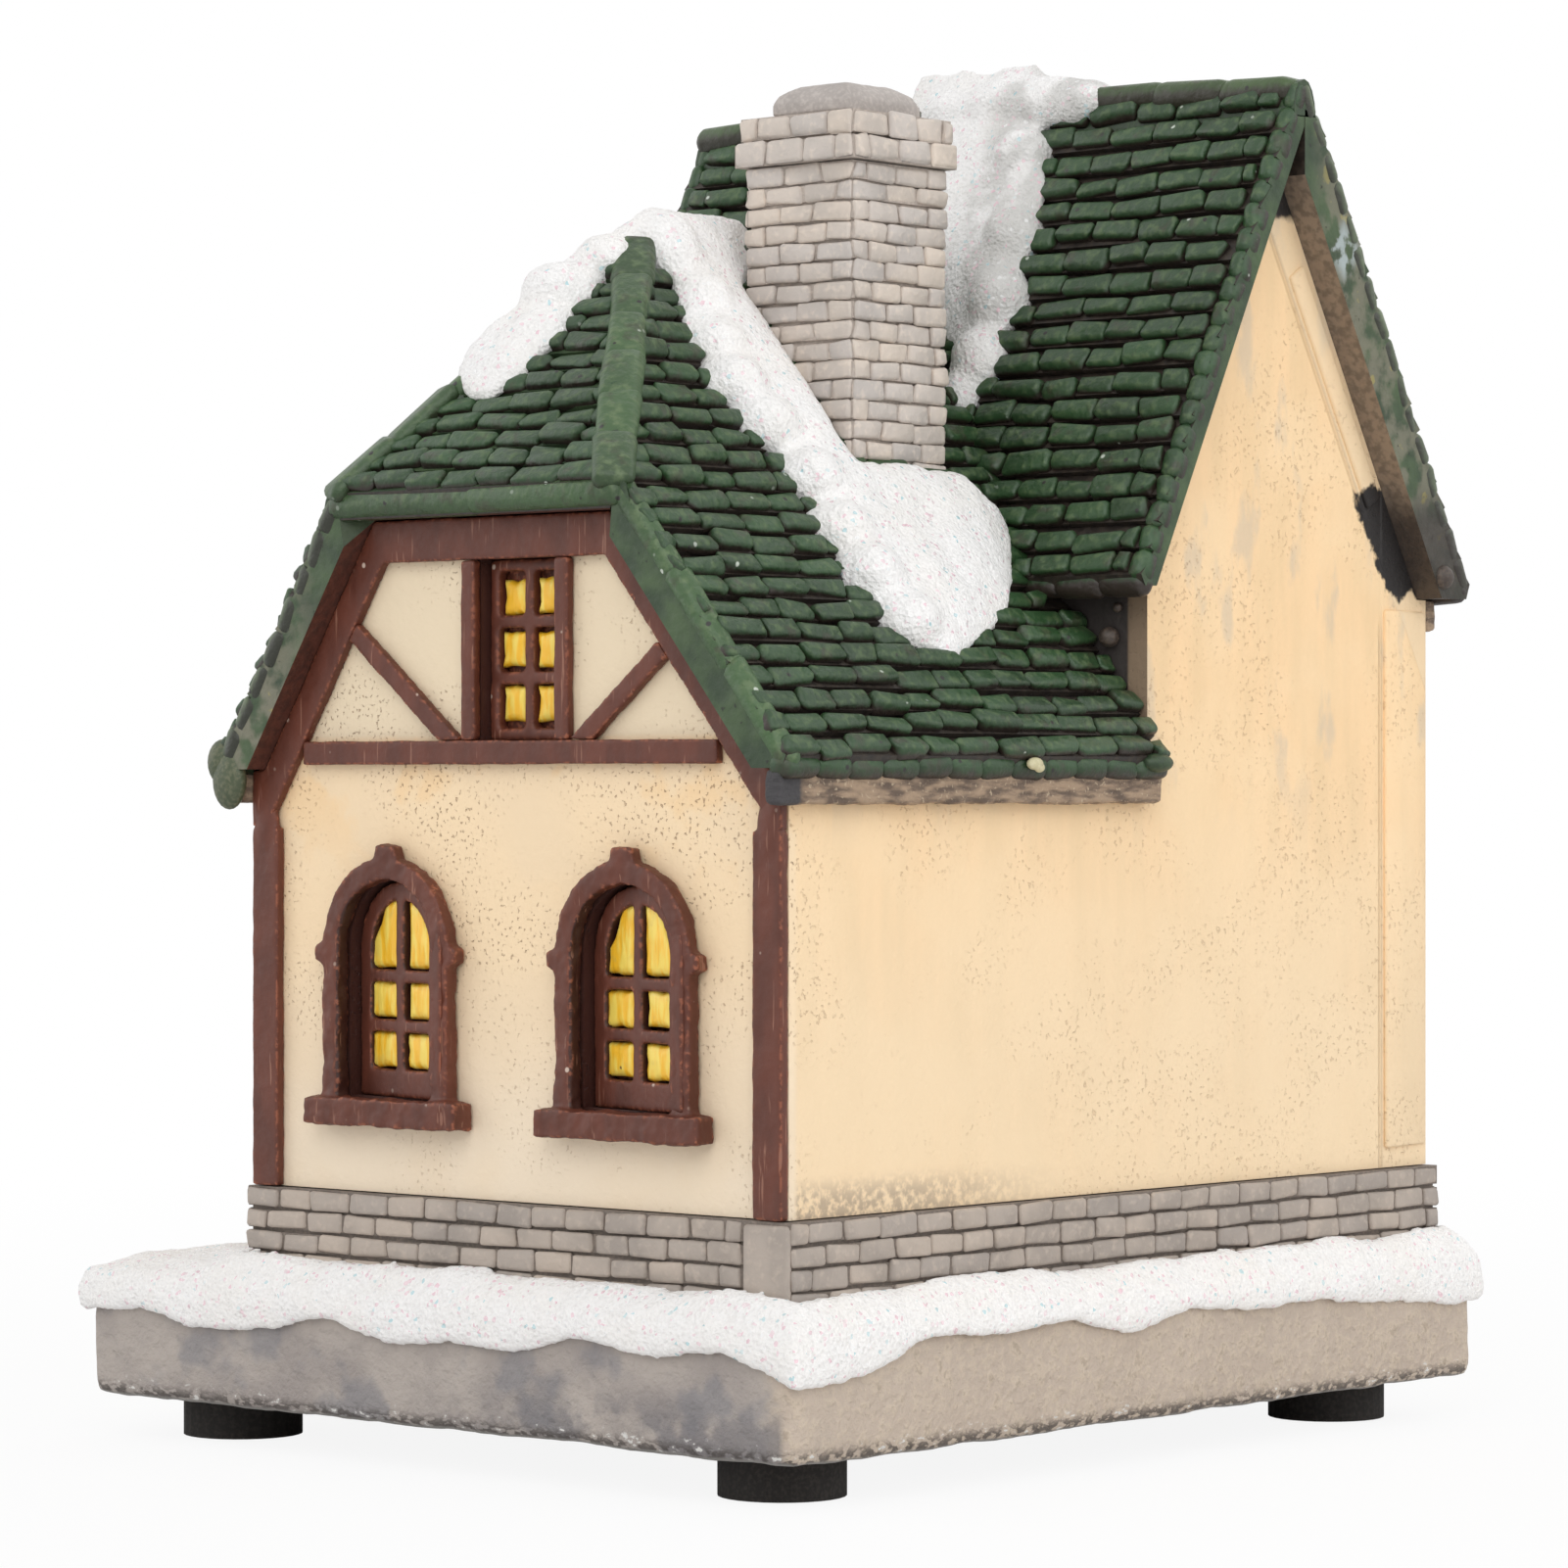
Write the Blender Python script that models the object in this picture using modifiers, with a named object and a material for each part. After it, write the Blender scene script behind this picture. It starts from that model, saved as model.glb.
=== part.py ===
"""A half-timbered village house for Christmas: a cast cottage on a snowy stone base, lit from below."""

import math

import bmesh
import bpy
from mathutils import Matrix, Vector, geometry, noise

# Everything below is in millimetres until a mesh is handed over in metres.
# X runs along the main ridge, Y from the timbered gable to the back, Z up from the table.
MM = 0.001
SEAM = 0.1
GAP = 0.3

# Foam feet
FOOT_RADIUS = 5.0
FOOT_HEIGHT = 3.5
FOOT_INSET = 9.0

# Stone base slab
SLAB_WIDTH = 78.7
SLAB_DEPTH = 88.8
SLAB_HEIGHT = 9.3
SLAB_EDGE = 0.7

# House plan
FRONT_MARGIN = 2.9
BLANK_SIDE_MARGIN = 2.9
REAR_MARGIN = 2.8
WING_WIDTH = 58.1
MAIN_WIDTH = 62.5
MAIN_DEPTH = 39.2
WALL = 1.8

# Brick plinth
PLINTH_HEIGHT = 8.8
PLINTH_PROUD = 0.7
PLINTH_COURSES = 5
JOINT_DEPTH = 0.25
JOINT_HEIGHT = 0.3

# Roofs. Heights are counted from the top of the plinth.
TILE_BUTT = 0.6
WING_THICKNESS = 2.7
WING_EAVE_RISE = 34.8
WING_SOFFIT_RISE = 34.2
WING_RIDGE_RISE = 76.7
WING_RIDGE_SHIFT = -3.6
WING_EAVE_OUT = 1.8
WING_LEFT_OUT = 1.4
WING_COURSES = 24
VERGE_OUT = 2.9
HIP_THICKNESS = 2.6
HIP_EAVE_RISE = 55.9
HIP_SOFFIT_RISE = 54.2
HIP_RUN = 20.9
HIP_COURSES = 13
MAIN_FRONT_THICKNESS = 1.6
MAIN_BACK_THICKNESS = 3.7
MAIN_FRONT_EAVE_RISE = 49.6
MAIN_BACK_EAVE_RISE = 50.0
MAIN_SOFFIT_RISE = 49.0
MAIN_RIDGE_RISE = 91.3
MAIN_RIDGE_SHIFT = -1.6
MAIN_FRONT_OUT = 3.6
MAIN_REAR_OUT = 2.4
MAIN_GABLE_OUT = 2.6
MAIN_COURSES = 19
CAP_HALF_WIDTH = 1.5
CAP_RISE = 0.5
CAP_BED = 0.2
CAP_FACETS = 8
FASCIA_HEIGHT = 2.6
FASCIA_THICKNESS = 1.5

# Chimney
CHIMNEY_WIDTH = 11.5
CHIMNEY_DEPTH = 11.6
CHIMNEY_RIGHT_IN = 16.95
CHIMNEY_FRONT_IN = 26.9
CHIMNEY_TOP_RISE = 83.6
CHIMNEY_COURSE = 1.62
CHIMNEY_COURSES = 17
CORBEL_HEIGHT = 2.0
CORBEL_PROUD = 0.7
POT_WIDTH = 8.4
POT_DEPTH = 9.5
POT_HEIGHT = 2.8
POT_CHAMFER = 1.6

# Timber framing, counted from the top of the plinth
TIMBER_PROUD = 0.8
POST_WIDTH = 2.9
POST_RISE = 29.4
TIE_RISE = 34.6
TIE_HEIGHT = 1.8
COLLAR_RISE = 50.8
RAFTER_WIDTH = 2.6
BRACE_WIDTH = 1.5
BRACE_REACH = 10.2
BRACE_RISE = 8.2
STUD_WIDTH = 1.45

# Arched windows, counted from the top of the plinth
ARCH_HALF = 5.2
ARCH_SURROUND = 2.0
ARCH_SILL_RISE = 5.4
ARCH_SILL_HEIGHT = 2.4
ARCH_SILL_OUT = 1.6
ARCH_SPRING_RISE = 20.0
ARCH_PROUD = 1.6
ARCH_SILL_PROUD = 2.3
IMPOST_OUT = 0.9
IMPOST_HEIGHT = 1.6
KEYSTONE_HALF = 1.3
KEYSTONE_RISE = 1.0
LEFT_WINDOW_IN = 16.0
RIGHT_WINDOW_IN = 16.0
SIDE_WINDOW_IN = 22.0

# Sashes and glowing panes
SASH_THICKNESS = 1.0
SASH_SET_BACK = 0.9
SASH_RIM = 1.3
SASH_BAR = 0.9
SASH_RAIL = 2.2
PANE_THICKNESS = 0.5
PANE_ROW = 4.0
ATTIC_HALF = 4.3
ATTIC_SHIFT = 0.9
ATTIC_RIM = 0.95

# Door side
DOOR_HALF = 4.6
DOOR_SPRING_RISE = 9.0
DOOR_THICKNESS = 1.0
DOOR_PLANKS = 5
STEP_HEIGHT = 3.6
SIDE_ATTIC_HALF = 3.9
SIDE_ATTIC_HEIGHT = 11.5

# Snow
SNOW_AT_WALL = 3.4
SNOW_LIP = 0.8
SNOW_CORNER = 1.6
SNOW_LUMP = 0.9
DRIFT_THICKNESS = 1.9
DRIFT_EDGE = 0.8
DRIFT_ROUND = 1.0
DRIFT_ROLL = 3.2
DRIFT_CELL = 1.6

# Light unit under the slab. Its own centre is zero, and +X is the switch end.
UNIT_X = 5.0
UNIT_LENGTH = 44.0
UNIT_WIDTH = 28.0
UNIT_HEIGHT = 9.2
FLANGE = 2.2
FLANGE_THICKNESS = 1.2
UNIT_WALL = 1.4
LIP = 1.1
DOOR_LENGTH = 24.0
DOOR_WIDTH = 22.0
DOOR_PLATE = 1.6
DOOR_END_IN = 3.8
TAB_REACH = 1.5
TAB_WIDTH = 6.0
TAB_THICKNESS = 0.8
CELL_RADIUS = 10.0
CELL_HEIGHT = 3.2
CELL_FACE_IN = 1.7
CEILING = 1.2
SCREW_INSET = 2.5
SCREW_HEAD_RADIUS = 1.8
SCREW_HEAD = 0.8
SCREW_HEAD_IN = 0.2
SCREW_RADIUS = 0.9
SCREW_REACH = 2.6
CONTACT = 0.3
CONTACT_WIDTH = 3.4
BOARD_LENGTH = 20.0
BOARD_WIDTH = 14.0
BOARD_THICKNESS = 1.0
LED_RADIUS = 1.5
LED_HEIGHT = 5.3
SLIDER_LENGTH = 8.0
SLIDER_WIDTH = 5.0
SLIDER_THICKNESS = 1.0
SLIDER_WALL = 1.4
SWITCH_TRAVEL = 2.4
KNOB_LENGTH = 2.4
KNOB_WIDTH = 2.6
KNOB_DROP = 0.6

# Levels and planes that follow from the sizes above
slab_bottom = FOOT_HEIGHT
slab_top = slab_bottom + SLAB_HEIGHT
plinth_top = slab_top + PLINTH_HEIGHT
wall_right = SLAB_WIDTH / 2 - BLANK_SIDE_MARGIN
wall_front = FRONT_MARGIN - SLAB_DEPTH / 2
wall_back = SLAB_DEPTH / 2 - REAR_MARGIN
wing_left = wall_right - WING_WIDTH
main_left = wall_right - MAIN_WIDTH
main_front = wall_back - MAIN_DEPTH
wing_middle = (wing_left + wall_right) / 2
attic_middle = wing_middle + ATTIC_SHIFT
main_middle = (main_front + wall_back) / 2
left_window_x = wing_left + LEFT_WINDOW_IN
right_window_x = wall_right - RIGHT_WINDOW_IN
verge_y = wall_front - VERGE_OUT

ridge_x = wing_middle + WING_RIDGE_SHIFT
wing_eave_z = plinth_top + WING_EAVE_RISE
wing_soffit = plinth_top + WING_SOFFIT_RISE
wing_ridge_z = plinth_top + WING_RIDGE_RISE
right_eave_x = wall_right + WING_EAVE_OUT
left_eave_x = wing_left - WING_LEFT_OUT
right_pitch = (wing_ridge_z - wing_eave_z) / (right_eave_x - ridge_x)
left_pitch = (wing_ridge_z - wing_eave_z) / (ridge_x - left_eave_x)
hip_eave_z = plinth_top + HIP_EAVE_RISE
hip_soffit = plinth_top + HIP_SOFFIT_RISE
hip_pitch = (wing_ridge_z - hip_eave_z) / HIP_RUN
apex = Vector((ridge_x, verge_y + HIP_RUN, wing_ridge_z))

main_ridge_y = main_middle + MAIN_RIDGE_SHIFT
main_ridge_z = plinth_top + MAIN_RIDGE_RISE
main_soffit = plinth_top + MAIN_SOFFIT_RISE
front_eave_y = main_front - MAIN_FRONT_OUT
front_eave_z = plinth_top + MAIN_FRONT_EAVE_RISE
back_eave_y = wall_back + MAIN_REAR_OUT
back_eave_z = plinth_top + MAIN_BACK_EAVE_RISE
front_pitch = (main_ridge_z - front_eave_z) / (main_ridge_y - front_eave_y)
back_pitch = (main_ridge_z - back_eave_z) / (back_eave_y - main_ridge_y)
main_roof_left = main_left - MAIN_GABLE_OUT
main_roof_right = wall_right + MAIN_GABLE_OUT

right_normal = Vector((right_pitch, 0, 1)).normalized()
left_normal = Vector((-left_pitch, 0, 1)).normalized()
hip_normal = Vector((0, -hip_pitch, 1)).normalized()
front_normal = Vector((0, -front_pitch, 1)).normalized()
back_normal = Vector((0, back_pitch, 1)).normalized()

chimney_right = wall_right - CHIMNEY_RIGHT_IN
chimney_left = chimney_right - CHIMNEY_WIDTH
chimney_front = wall_front + CHIMNEY_FRONT_IN
chimney_back = chimney_front + CHIMNEY_DEPTH
chimney_top = plinth_top + CHIMNEY_TOP_RISE

unit_top = slab_bottom + UNIT_HEIGHT
door_left = DOOR_END_IN - UNIT_LENGTH / 2
door_right = door_left + DOOR_LENGTH
door_top = slab_bottom + DOOR_PLATE
recess_top = door_top + GAP / 2
cell_x = (door_left + door_right) / 2
cell_low = door_top + GAP
cell_high = cell_low + CELL_HEIGHT
ceiling_low = cell_high + 3 * CONTACT
tray_floor = ceiling_low + CEILING
screw_x = door_right - SCREW_INSET
screw_y = DOOR_WIDTH / 2 - SCREW_INSET
screw_place = (screw_x + UNIT_X, screw_y)
switch_x = door_right + GAP + SLIDER_WALL + GAP + SLIDER_LENGTH / 2
slider_low = slab_bottom + LIP + GAP
slider_high = slider_low + SLIDER_THICKNESS


def plumb(thickness, pitch):
    """Vertical depth of a roof of this thickness at this slope."""
    return thickness * math.sqrt(1 + pitch * pitch)


# Finishes, as sRGB colours
FINISHES = {
    "stone": ((150, 144, 140), 0.75, 0.0),
    "snow": ((240, 239, 240), 0.8, 0.0),
    "brick": ((150, 143, 138), 0.75, 0.0),
    "stucco": ((244, 220, 180), 0.7, 0.0),
    "timber": ((107, 70, 60), 0.55, 0.0),
    "pane": ((245, 200, 60), 0.4, 0.0),
    "tile": ((45, 75, 50), 0.5, 0.0),
    "board": ((120, 108, 98), 0.65, 0.0),
    "chimney": ((180, 171, 164), 0.7, 0.0),
    "foam": ((40, 36, 34), 0.95, 0.0),
    "black_plastic": ((28, 28, 30), 0.45, 0.0),
    "steel": ((190, 190, 188), 0.3, 1.0),
    "board_green": ((30, 90, 55), 0.5, 0.0),
    "led_lens": ((255, 235, 190), 0.15, 0.0),
}

house = bpy.data.collections.new("christmas_village_house")
cutters = bpy.data.collections.new("cutters")
finish_materials = {}


def clear_scene():
    for old in list(bpy.data.objects):
        bpy.data.objects.remove(old, do_unlink=True)
    bpy.context.scene.collection.children.link(house)
    bpy.context.scene.collection.children.link(cutters)


def linear(channel):
    share = channel / 255
    return share / 12.92 if share <= 0.04045 else ((share + 0.055) / 1.055) ** 2.4


def make_finishes():
    for name, (colour, roughness, metallic) in FINISHES.items():
        material = bpy.data.materials.new(name)
        material.use_nodes = True
        shader = material.node_tree.nodes["Principled BSDF"]
        shader.inputs["Base Color"].default_value = (*[linear(c) for c in colour], 1)
        shader.inputs["Roughness"].default_value = roughness
        shader.inputs["Metallic"].default_value = metallic
        finish_materials[name] = material


# Making and cutting solids


def mesh_object(name, bm, finish=None, origin=(0, 0, 0)):
    """An object from a bmesh in millimetres: a piece of the house, or a cutter when it has no finish."""
    bmesh.ops.remove_doubles(bm, verts=bm.verts, dist=0.0005)
    bmesh.ops.recalc_face_normals(bm, faces=bm.faces)
    bmesh.ops.translate(bm, verts=bm.verts, vec=-Vector(origin))
    bmesh.ops.scale(bm, verts=bm.verts, vec=(MM, MM, MM))
    mesh = bpy.data.meshes.new(name)
    bm.to_mesh(mesh)
    bm.free()
    made = bpy.data.objects.new(name, mesh)
    made.location = Vector(origin) * MM
    if finish is None:
        cutters.objects.link(made)
        made.display_type = "WIRE"
        made.hide_render = True
    else:
        house.objects.link(made)
        mesh.materials.append(finish_materials[finish])
    return made


def box_bmesh(low, high):
    bm = bmesh.new()
    size = Vector(high) - Vector(low)
    middle = (Vector(high) + Vector(low)) / 2
    bmesh.ops.create_cube(bm, size=1, matrix=Matrix.Translation(middle) @ Matrix.Diagonal((*size, 1)))
    return bm


def box(name, low, high, finish=None, origin=(0, 0, 0)):
    return mesh_object(name, box_bmesh(low, high), finish, origin)


def cylinder(name, centre, radius, low, high, finish=None, sides=32, origin=(0, 0, 0)):
    bm = bmesh.new()
    middle = Matrix.Translation((centre[0], centre[1], (low + high) / 2))
    bmesh.ops.create_cone(
        bm, cap_ends=True, segments=sides, radius1=radius, radius2=radius, depth=high - low, matrix=middle
    )
    made = mesh_object(name, bm, finish, origin)
    made.data.shade_smooth()
    made.data.set_sharp_from_angle(angle=math.radians(40))
    return made


# Directions of a flat outline: its two axes and the way it is given thickness
FRAMES = {
    "x": Matrix(((0, 0, 1), (1, 0, 0), (0, 1, 0))),
    "y": Matrix(((1, 0, 0), (0, 0, -1), (0, 1, 0))),
    "z": Matrix.Identity(3),
}


def outline_bmesh(loops, frame, low, high):
    """Closed loops of points, the outside first, thickened along the frame's third axis."""
    curve = bpy.data.curves.new("outline", "CURVE")
    curve.dimensions = "2D"
    curve.fill_mode = "BOTH"
    curve.extrude = (high - low) / 2
    for loop in loops:
        spline = curve.splines.new("POLY")
        spline.points.add(len(loop) - 1)
        for point, (u, v) in zip(spline.points, loop):
            point.co = (u, v, 0, 1)
        spline.use_cyclic_u = True
    guide = bpy.data.objects.new("outline", curve)
    cutters.objects.link(guide)
    graph = bpy.context.evaluated_depsgraph_get()
    mesh = bpy.data.meshes.new_from_object(guide.evaluated_get(graph))
    bm = bmesh.new()
    bm.from_mesh(mesh)
    bpy.data.objects.remove(guide, do_unlink=True)
    bpy.data.curves.remove(curve)
    bpy.data.meshes.remove(mesh)
    bmesh.ops.remove_doubles(bm, verts=bm.verts, dist=0.0005)
    bmesh.ops.translate(bm, verts=bm.verts, vec=(0, 0, (low + high) / 2))
    bmesh.ops.transform(bm, verts=bm.verts, matrix=frame.to_4x4())
    return bm


def prism(name, loops, axis, low, high, finish=None):
    """A flat outline made solid between two planes along X, Y or Z."""
    if axis == "y":
        low, high = -high, -low
    return mesh_object(name, outline_bmesh(loops, FRAMES[axis], low, high), finish)


def boolean(target, other, operation):
    modifier = target.modifiers.new(operation.lower(), "BOOLEAN")
    modifier.operation = operation
    modifier.object = other
    modifier.solver = "EXACT"


def cut(target, *others):
    for other in others:
        boolean(target, other, "DIFFERENCE")


def join(target, *others):
    for other in others:
        boolean(target, other, "UNION")


def slice_off(bm, point, normal):
    """Removes what lies past a plane, on the side its normal points to, and closes the cut."""
    parts = bm.verts[:] + bm.edges[:] + bm.faces[:]
    bmesh.ops.bisect_plane(bm, geom=parts, dist=1e-5, plane_co=point, plane_no=normal, clear_outer=True)
    rim = [edge for edge in bm.edges if edge.is_boundary]
    if rim:
        bmesh.ops.triangle_fill(bm, edges=rim, use_beauty=True, use_dissolve=False)


def turned(name, profile, centre, finish, steps=32):
    """A profile of (radius, height) points, top to bottom on its outer side, turned about a vertical axis."""
    mesh = bpy.data.meshes.new(name)
    points = [(radius * MM, 0, height * MM) for radius, height in profile]
    mesh.from_pydata(points, [(i, i + 1) for i in range(len(points) - 1)], [])
    made = bpy.data.objects.new(name, mesh)
    made.location = (centre[0] * MM, centre[1] * MM, 0)
    screw = made.modifiers.new("turn", "SCREW")
    screw.steps = steps
    screw.render_steps = steps
    screw.use_merge_vertices = True
    screw.merge_threshold = 1e-5
    screw.use_smooth_shade = steps > 8
    if finish is None:
        cutters.objects.link(made)
        made.display_type = "WIRE"
        made.hide_render = True
    else:
        house.objects.link(made)
        mesh.materials.append(finish_materials[finish])
    return made


# Base: slab, feet and the blanket of snow


def base_slab():
    bm = box_bmesh(
        (-SLAB_WIDTH / 2, -SLAB_DEPTH / 2, slab_bottom), (SLAB_WIDTH / 2, SLAB_DEPTH / 2, slab_top)
    )
    slab = mesh_object("base_slab", bm, "stone")
    bevel = slab.modifiers.new("worn_edges", "BEVEL")
    bevel.width = SLAB_EDGE * MM
    bevel.segments = 2
    half_length = UNIT_LENGTH / 2 + GAP
    half_width = UNIT_WIDTH / 2 + GAP
    opening = box(
        "slab_opening",
        (UNIT_X - half_length, -half_width, slab_bottom - 1),
        (UNIT_X + half_length, half_width, slab_top + 1),
    )
    rebate = box(
        "slab_rebate",
        (UNIT_X - half_length - FLANGE, -half_width - FLANGE, slab_bottom - 1),
        (UNIT_X + half_length + FLANGE, half_width + FLANGE, slab_bottom + FLANGE_THICKNESS + SEAM),
    )
    cut(slab, opening, rebate)


def foam_feet():
    reach_x = SLAB_WIDTH / 2 - FOOT_INSET
    reach_y = SLAB_DEPTH / 2 - FOOT_INSET
    places = {"front_right": (1, -1), "front_left": (-1, -1), "back_right": (1, 1), "back_left": (-1, 1)}
    for place, (side_x, side_y) in places.items():
        centre = (side_x * reach_x, side_y * reach_y)
        cylinder("foot_" + place, centre, FOOT_RADIUS, 0, FOOT_HEIGHT - SEAM, "foam", sides=28)


def plan_outline(proud):
    """The L-shaped plan of wing and main block, this far outside the wall faces."""
    step = main_front - proud if main_left < wing_left else main_front + proud
    return [
        (wing_left - proud, wall_front - proud),
        (wall_right + proud, wall_front - proud),
        (wall_right + proud, wall_back + proud),
        (main_left - proud, wall_back + proud),
        (main_left - proud, step),
        (wing_left - proud, step),
    ]


# How far the snow hangs down the slab, going round from the left end of the front edge
FRONT_HANG = (2.3, 1.8, 3.0, 2.6, 1.1, 2.8, 2.2, 2.6, 0.8, 1.9, 0.9, 2.8)
RIGHT_HANG = (3.4, 3.0, 0.3, 1.1, 0.4, 2.2, 0.6, 1.5, 1.1, 2.0, 2.4, 3.6)
BACK_HANG = (2.8, 1.4, 2.6, 0.8, 2.0, 2.9, 1.2, 2.3, 1.6, 2.6, 1.2, 2.4)
LEFT_HANG = (2.0, 2.7, 1.0, 2.4, 3.0, 1.5, 2.2, 0.8, 2.6, 1.7, 2.8, 2.0)
SNOW_STATIONS = 24


def along(values, share):
    """A smooth reading of a list of values, from 0 at its start to 1 at its end."""
    place = share * (len(values) - 1)
    index = min(int(place), len(values) - 2)
    ease = (1 - math.cos((place - index) * math.pi)) / 2
    return values[index] * (1 - ease) + values[index + 1] * ease


def crossing(aim, point, loop):
    """Where the line from aim through a point last crosses a closed outline, and how far round that is."""
    best = (0.0, 0.0)
    ray = point - aim
    for index, corner in enumerate(loop):
        start = Vector(corner)
        side = Vector(loop[(index + 1) % len(loop)]) - start
        turn = ray.x * side.y - ray.y * side.x
        if abs(turn) < 1e-9:
            continue
        offset = start - aim
        reach = (offset.x * side.y - offset.y * side.x) / turn
        place = (offset.x * ray.y - offset.y * ray.x) / turn
        if -1e-6 <= place <= 1 + 1e-6:
            best = max(best, (reach, index + place))
    return aim + ray * best[0], best[1]


def snow_stations(plan, edge):
    """Points round the slab's edge, those in line with the plan's corners among them."""
    aim = Vector((wing_middle, 0))
    hangs = (FRONT_HANG, RIGHT_HANG, BACK_HANG, LEFT_HANG)
    corners = [crossing(aim, Vector(corner), edge)[1] for corner in plan]
    places = [k / SNOW_STATIONS for k in range(4 * SNOW_STATIONS)]
    near = 0.3 / SNOW_STATIONS
    places = [p for p in places if p % 1 == 0 or min(abs(p - other) for other in corners) > near]
    places += corners
    for place in sorted(places):
        side = min(int(place), 3)
        share = place - side
        start = Vector(edge[side])
        end = Vector(edge[(side + 1) % 4])
        point = start.lerp(end, share)
        along_edge = (end - start).normalized()
        outward = Vector((along_edge.y, -along_edge.x))
        if share == 0:
            outward -= along_edge
        yield point, crossing(aim, point, plan)[0], outward, along(hangs[side], share)


def base_snow():
    """A blanket lofted round the slab: against the plinth inside, over the edge and down the faces."""
    half_x = SLAB_WIDTH / 2
    half_y = SLAB_DEPTH / 2
    edge = [(-half_x, -half_y), (half_x, -half_y), (half_x, half_y), (-half_x, half_y)]
    bm = bmesh.new()
    rings = []
    for rim, inner, outward, hang in snow_stations(plan_outline(PLINTH_PROUD + GAP), edge):
        lump = SNOW_LUMP * noise.noise(Vector((rim.x * 0.13, rim.y * 0.13, 3.1)))
        section = (
            (inner, slab_top + SEAM),
            (inner, slab_top + SNOW_AT_WALL + lump),
            (inner.lerp(rim, 0.5), slab_top + SNOW_AT_WALL * 0.85 + lump * 0.7),
            (inner.lerp(rim, 0.85), slab_top + SNOW_AT_WALL * 0.6 + lump * 0.4),
            (rim + outward * SNOW_LIP * 0.55, slab_top + SNOW_CORNER * 0.6),
            (rim + outward * SNOW_LIP, slab_top - 0.3 * hang),
            (rim + outward * SNOW_LIP * 0.85, slab_top - 0.85 * hang),
            (rim + outward * SNOW_LIP * 0.5, slab_top - hang),
            (rim + outward * SEAM, slab_top - hang * 0.94),
            (rim + outward * SEAM, slab_top + SEAM),
        )
        rings.append([bm.verts.new((place.x, place.y, z)) for place, z in section])
    for index, ring in enumerate(rings):
        after = rings[(index + 1) % len(rings)]
        for k, corner in enumerate(ring):
            further = (k + 1) % len(ring)
            bm.faces.new((corner, after[k], after[further], ring[further]))
    blanket = mesh_object("base_snow", bm, "snow")
    blanket.data.shade_smooth()


# Plinth and walls


def brick_plinth():
    low = slab_top + SEAM
    inside = plan_outline(-WALL)
    plinth = prism("brick_plinth", [plan_outline(PLINTH_PROUD), inside], "z", low, plinth_top, "brick")
    course = PLINTH_HEIGHT / PLINTH_COURSES
    for index in range(1, PLINTH_COURSES):
        level = plinth_top - index * course
        ring = [plan_outline(PLINTH_PROUD + 1), plan_outline(PLINTH_PROUD - JOINT_DEPTH)]
        half = JOINT_HEIGHT / 2
        cut(plinth, prism(f"plinth_joint_{index}", ring, "z", level - half, level + half))
    door_gap = DOOR_HALF + ARCH_SURROUND + SEAM
    cut(
        plinth,
        box(
            "plinth_door_gap",
            (main_left - PLINTH_PROUD - 1, main_middle - door_gap, slab_top - 1),
            (main_left + WALL + 1, main_middle + door_gap, plinth_top + 1),
        ),
    )


def gable_loop(walls, ridge, slopes, soffit, foot, head):
    """An end wall under two slopes, each of them (height of its underside at the ridge, pitch)."""
    loop = []
    for side, wall, (line, pitch) in zip((1, -1), reversed(walls), reversed(slopes)):
        line -= SEAM
        at_wall = line - pitch * abs(wall - ridge)
        climb = [(wall, foot), (wall, max(soffit - SEAM, at_wall))]
        if at_wall < soffit - SEAM:
            climb.append((ridge + side * (line - soffit + SEAM) / pitch, soffit - SEAM))
        climb.append((ridge + side * (line - head) / pitch, head))
        loop += climb if side > 0 else climb[::-1]
    return loop


def wing_slopes():
    return [(wing_ridge_z - plumb(WING_THICKNESS, pitch), pitch) for pitch in (left_pitch, right_pitch)]


def main_slopes():
    return [
        (main_ridge_z - plumb(MAIN_FRONT_THICKNESS, front_pitch), front_pitch),
        (main_ridge_z - plumb(MAIN_BACK_THICKNESS, back_pitch), back_pitch),
    ]


def gable_width(height, inset, ridge, slopes):
    """The two ends of a gable under its slopes at this height, inside a border."""
    ends = []
    for side, (line, pitch) in zip((-1, 1), slopes):
        ends.append(ridge + side * (line - SEAM - plumb(inset, pitch) - height) / pitch)
    return ends


def wing_gable(foot):
    """The wing's end wall up to the hip's eave."""
    head = hip_soffit - SEAM
    return gable_loop((wing_left, wall_right), ridge_x, wing_slopes(), wing_soffit, foot, head)


def main_gable(foot):
    """The main block's end wall, up under both slopes."""
    (front_line, _), (back_line, _) = main_slopes()
    head = min(front_line, back_line) - 3 * SEAM
    return gable_loop((main_front, wall_back), main_ridge_y, main_slopes(), main_soffit, foot, head)


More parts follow.
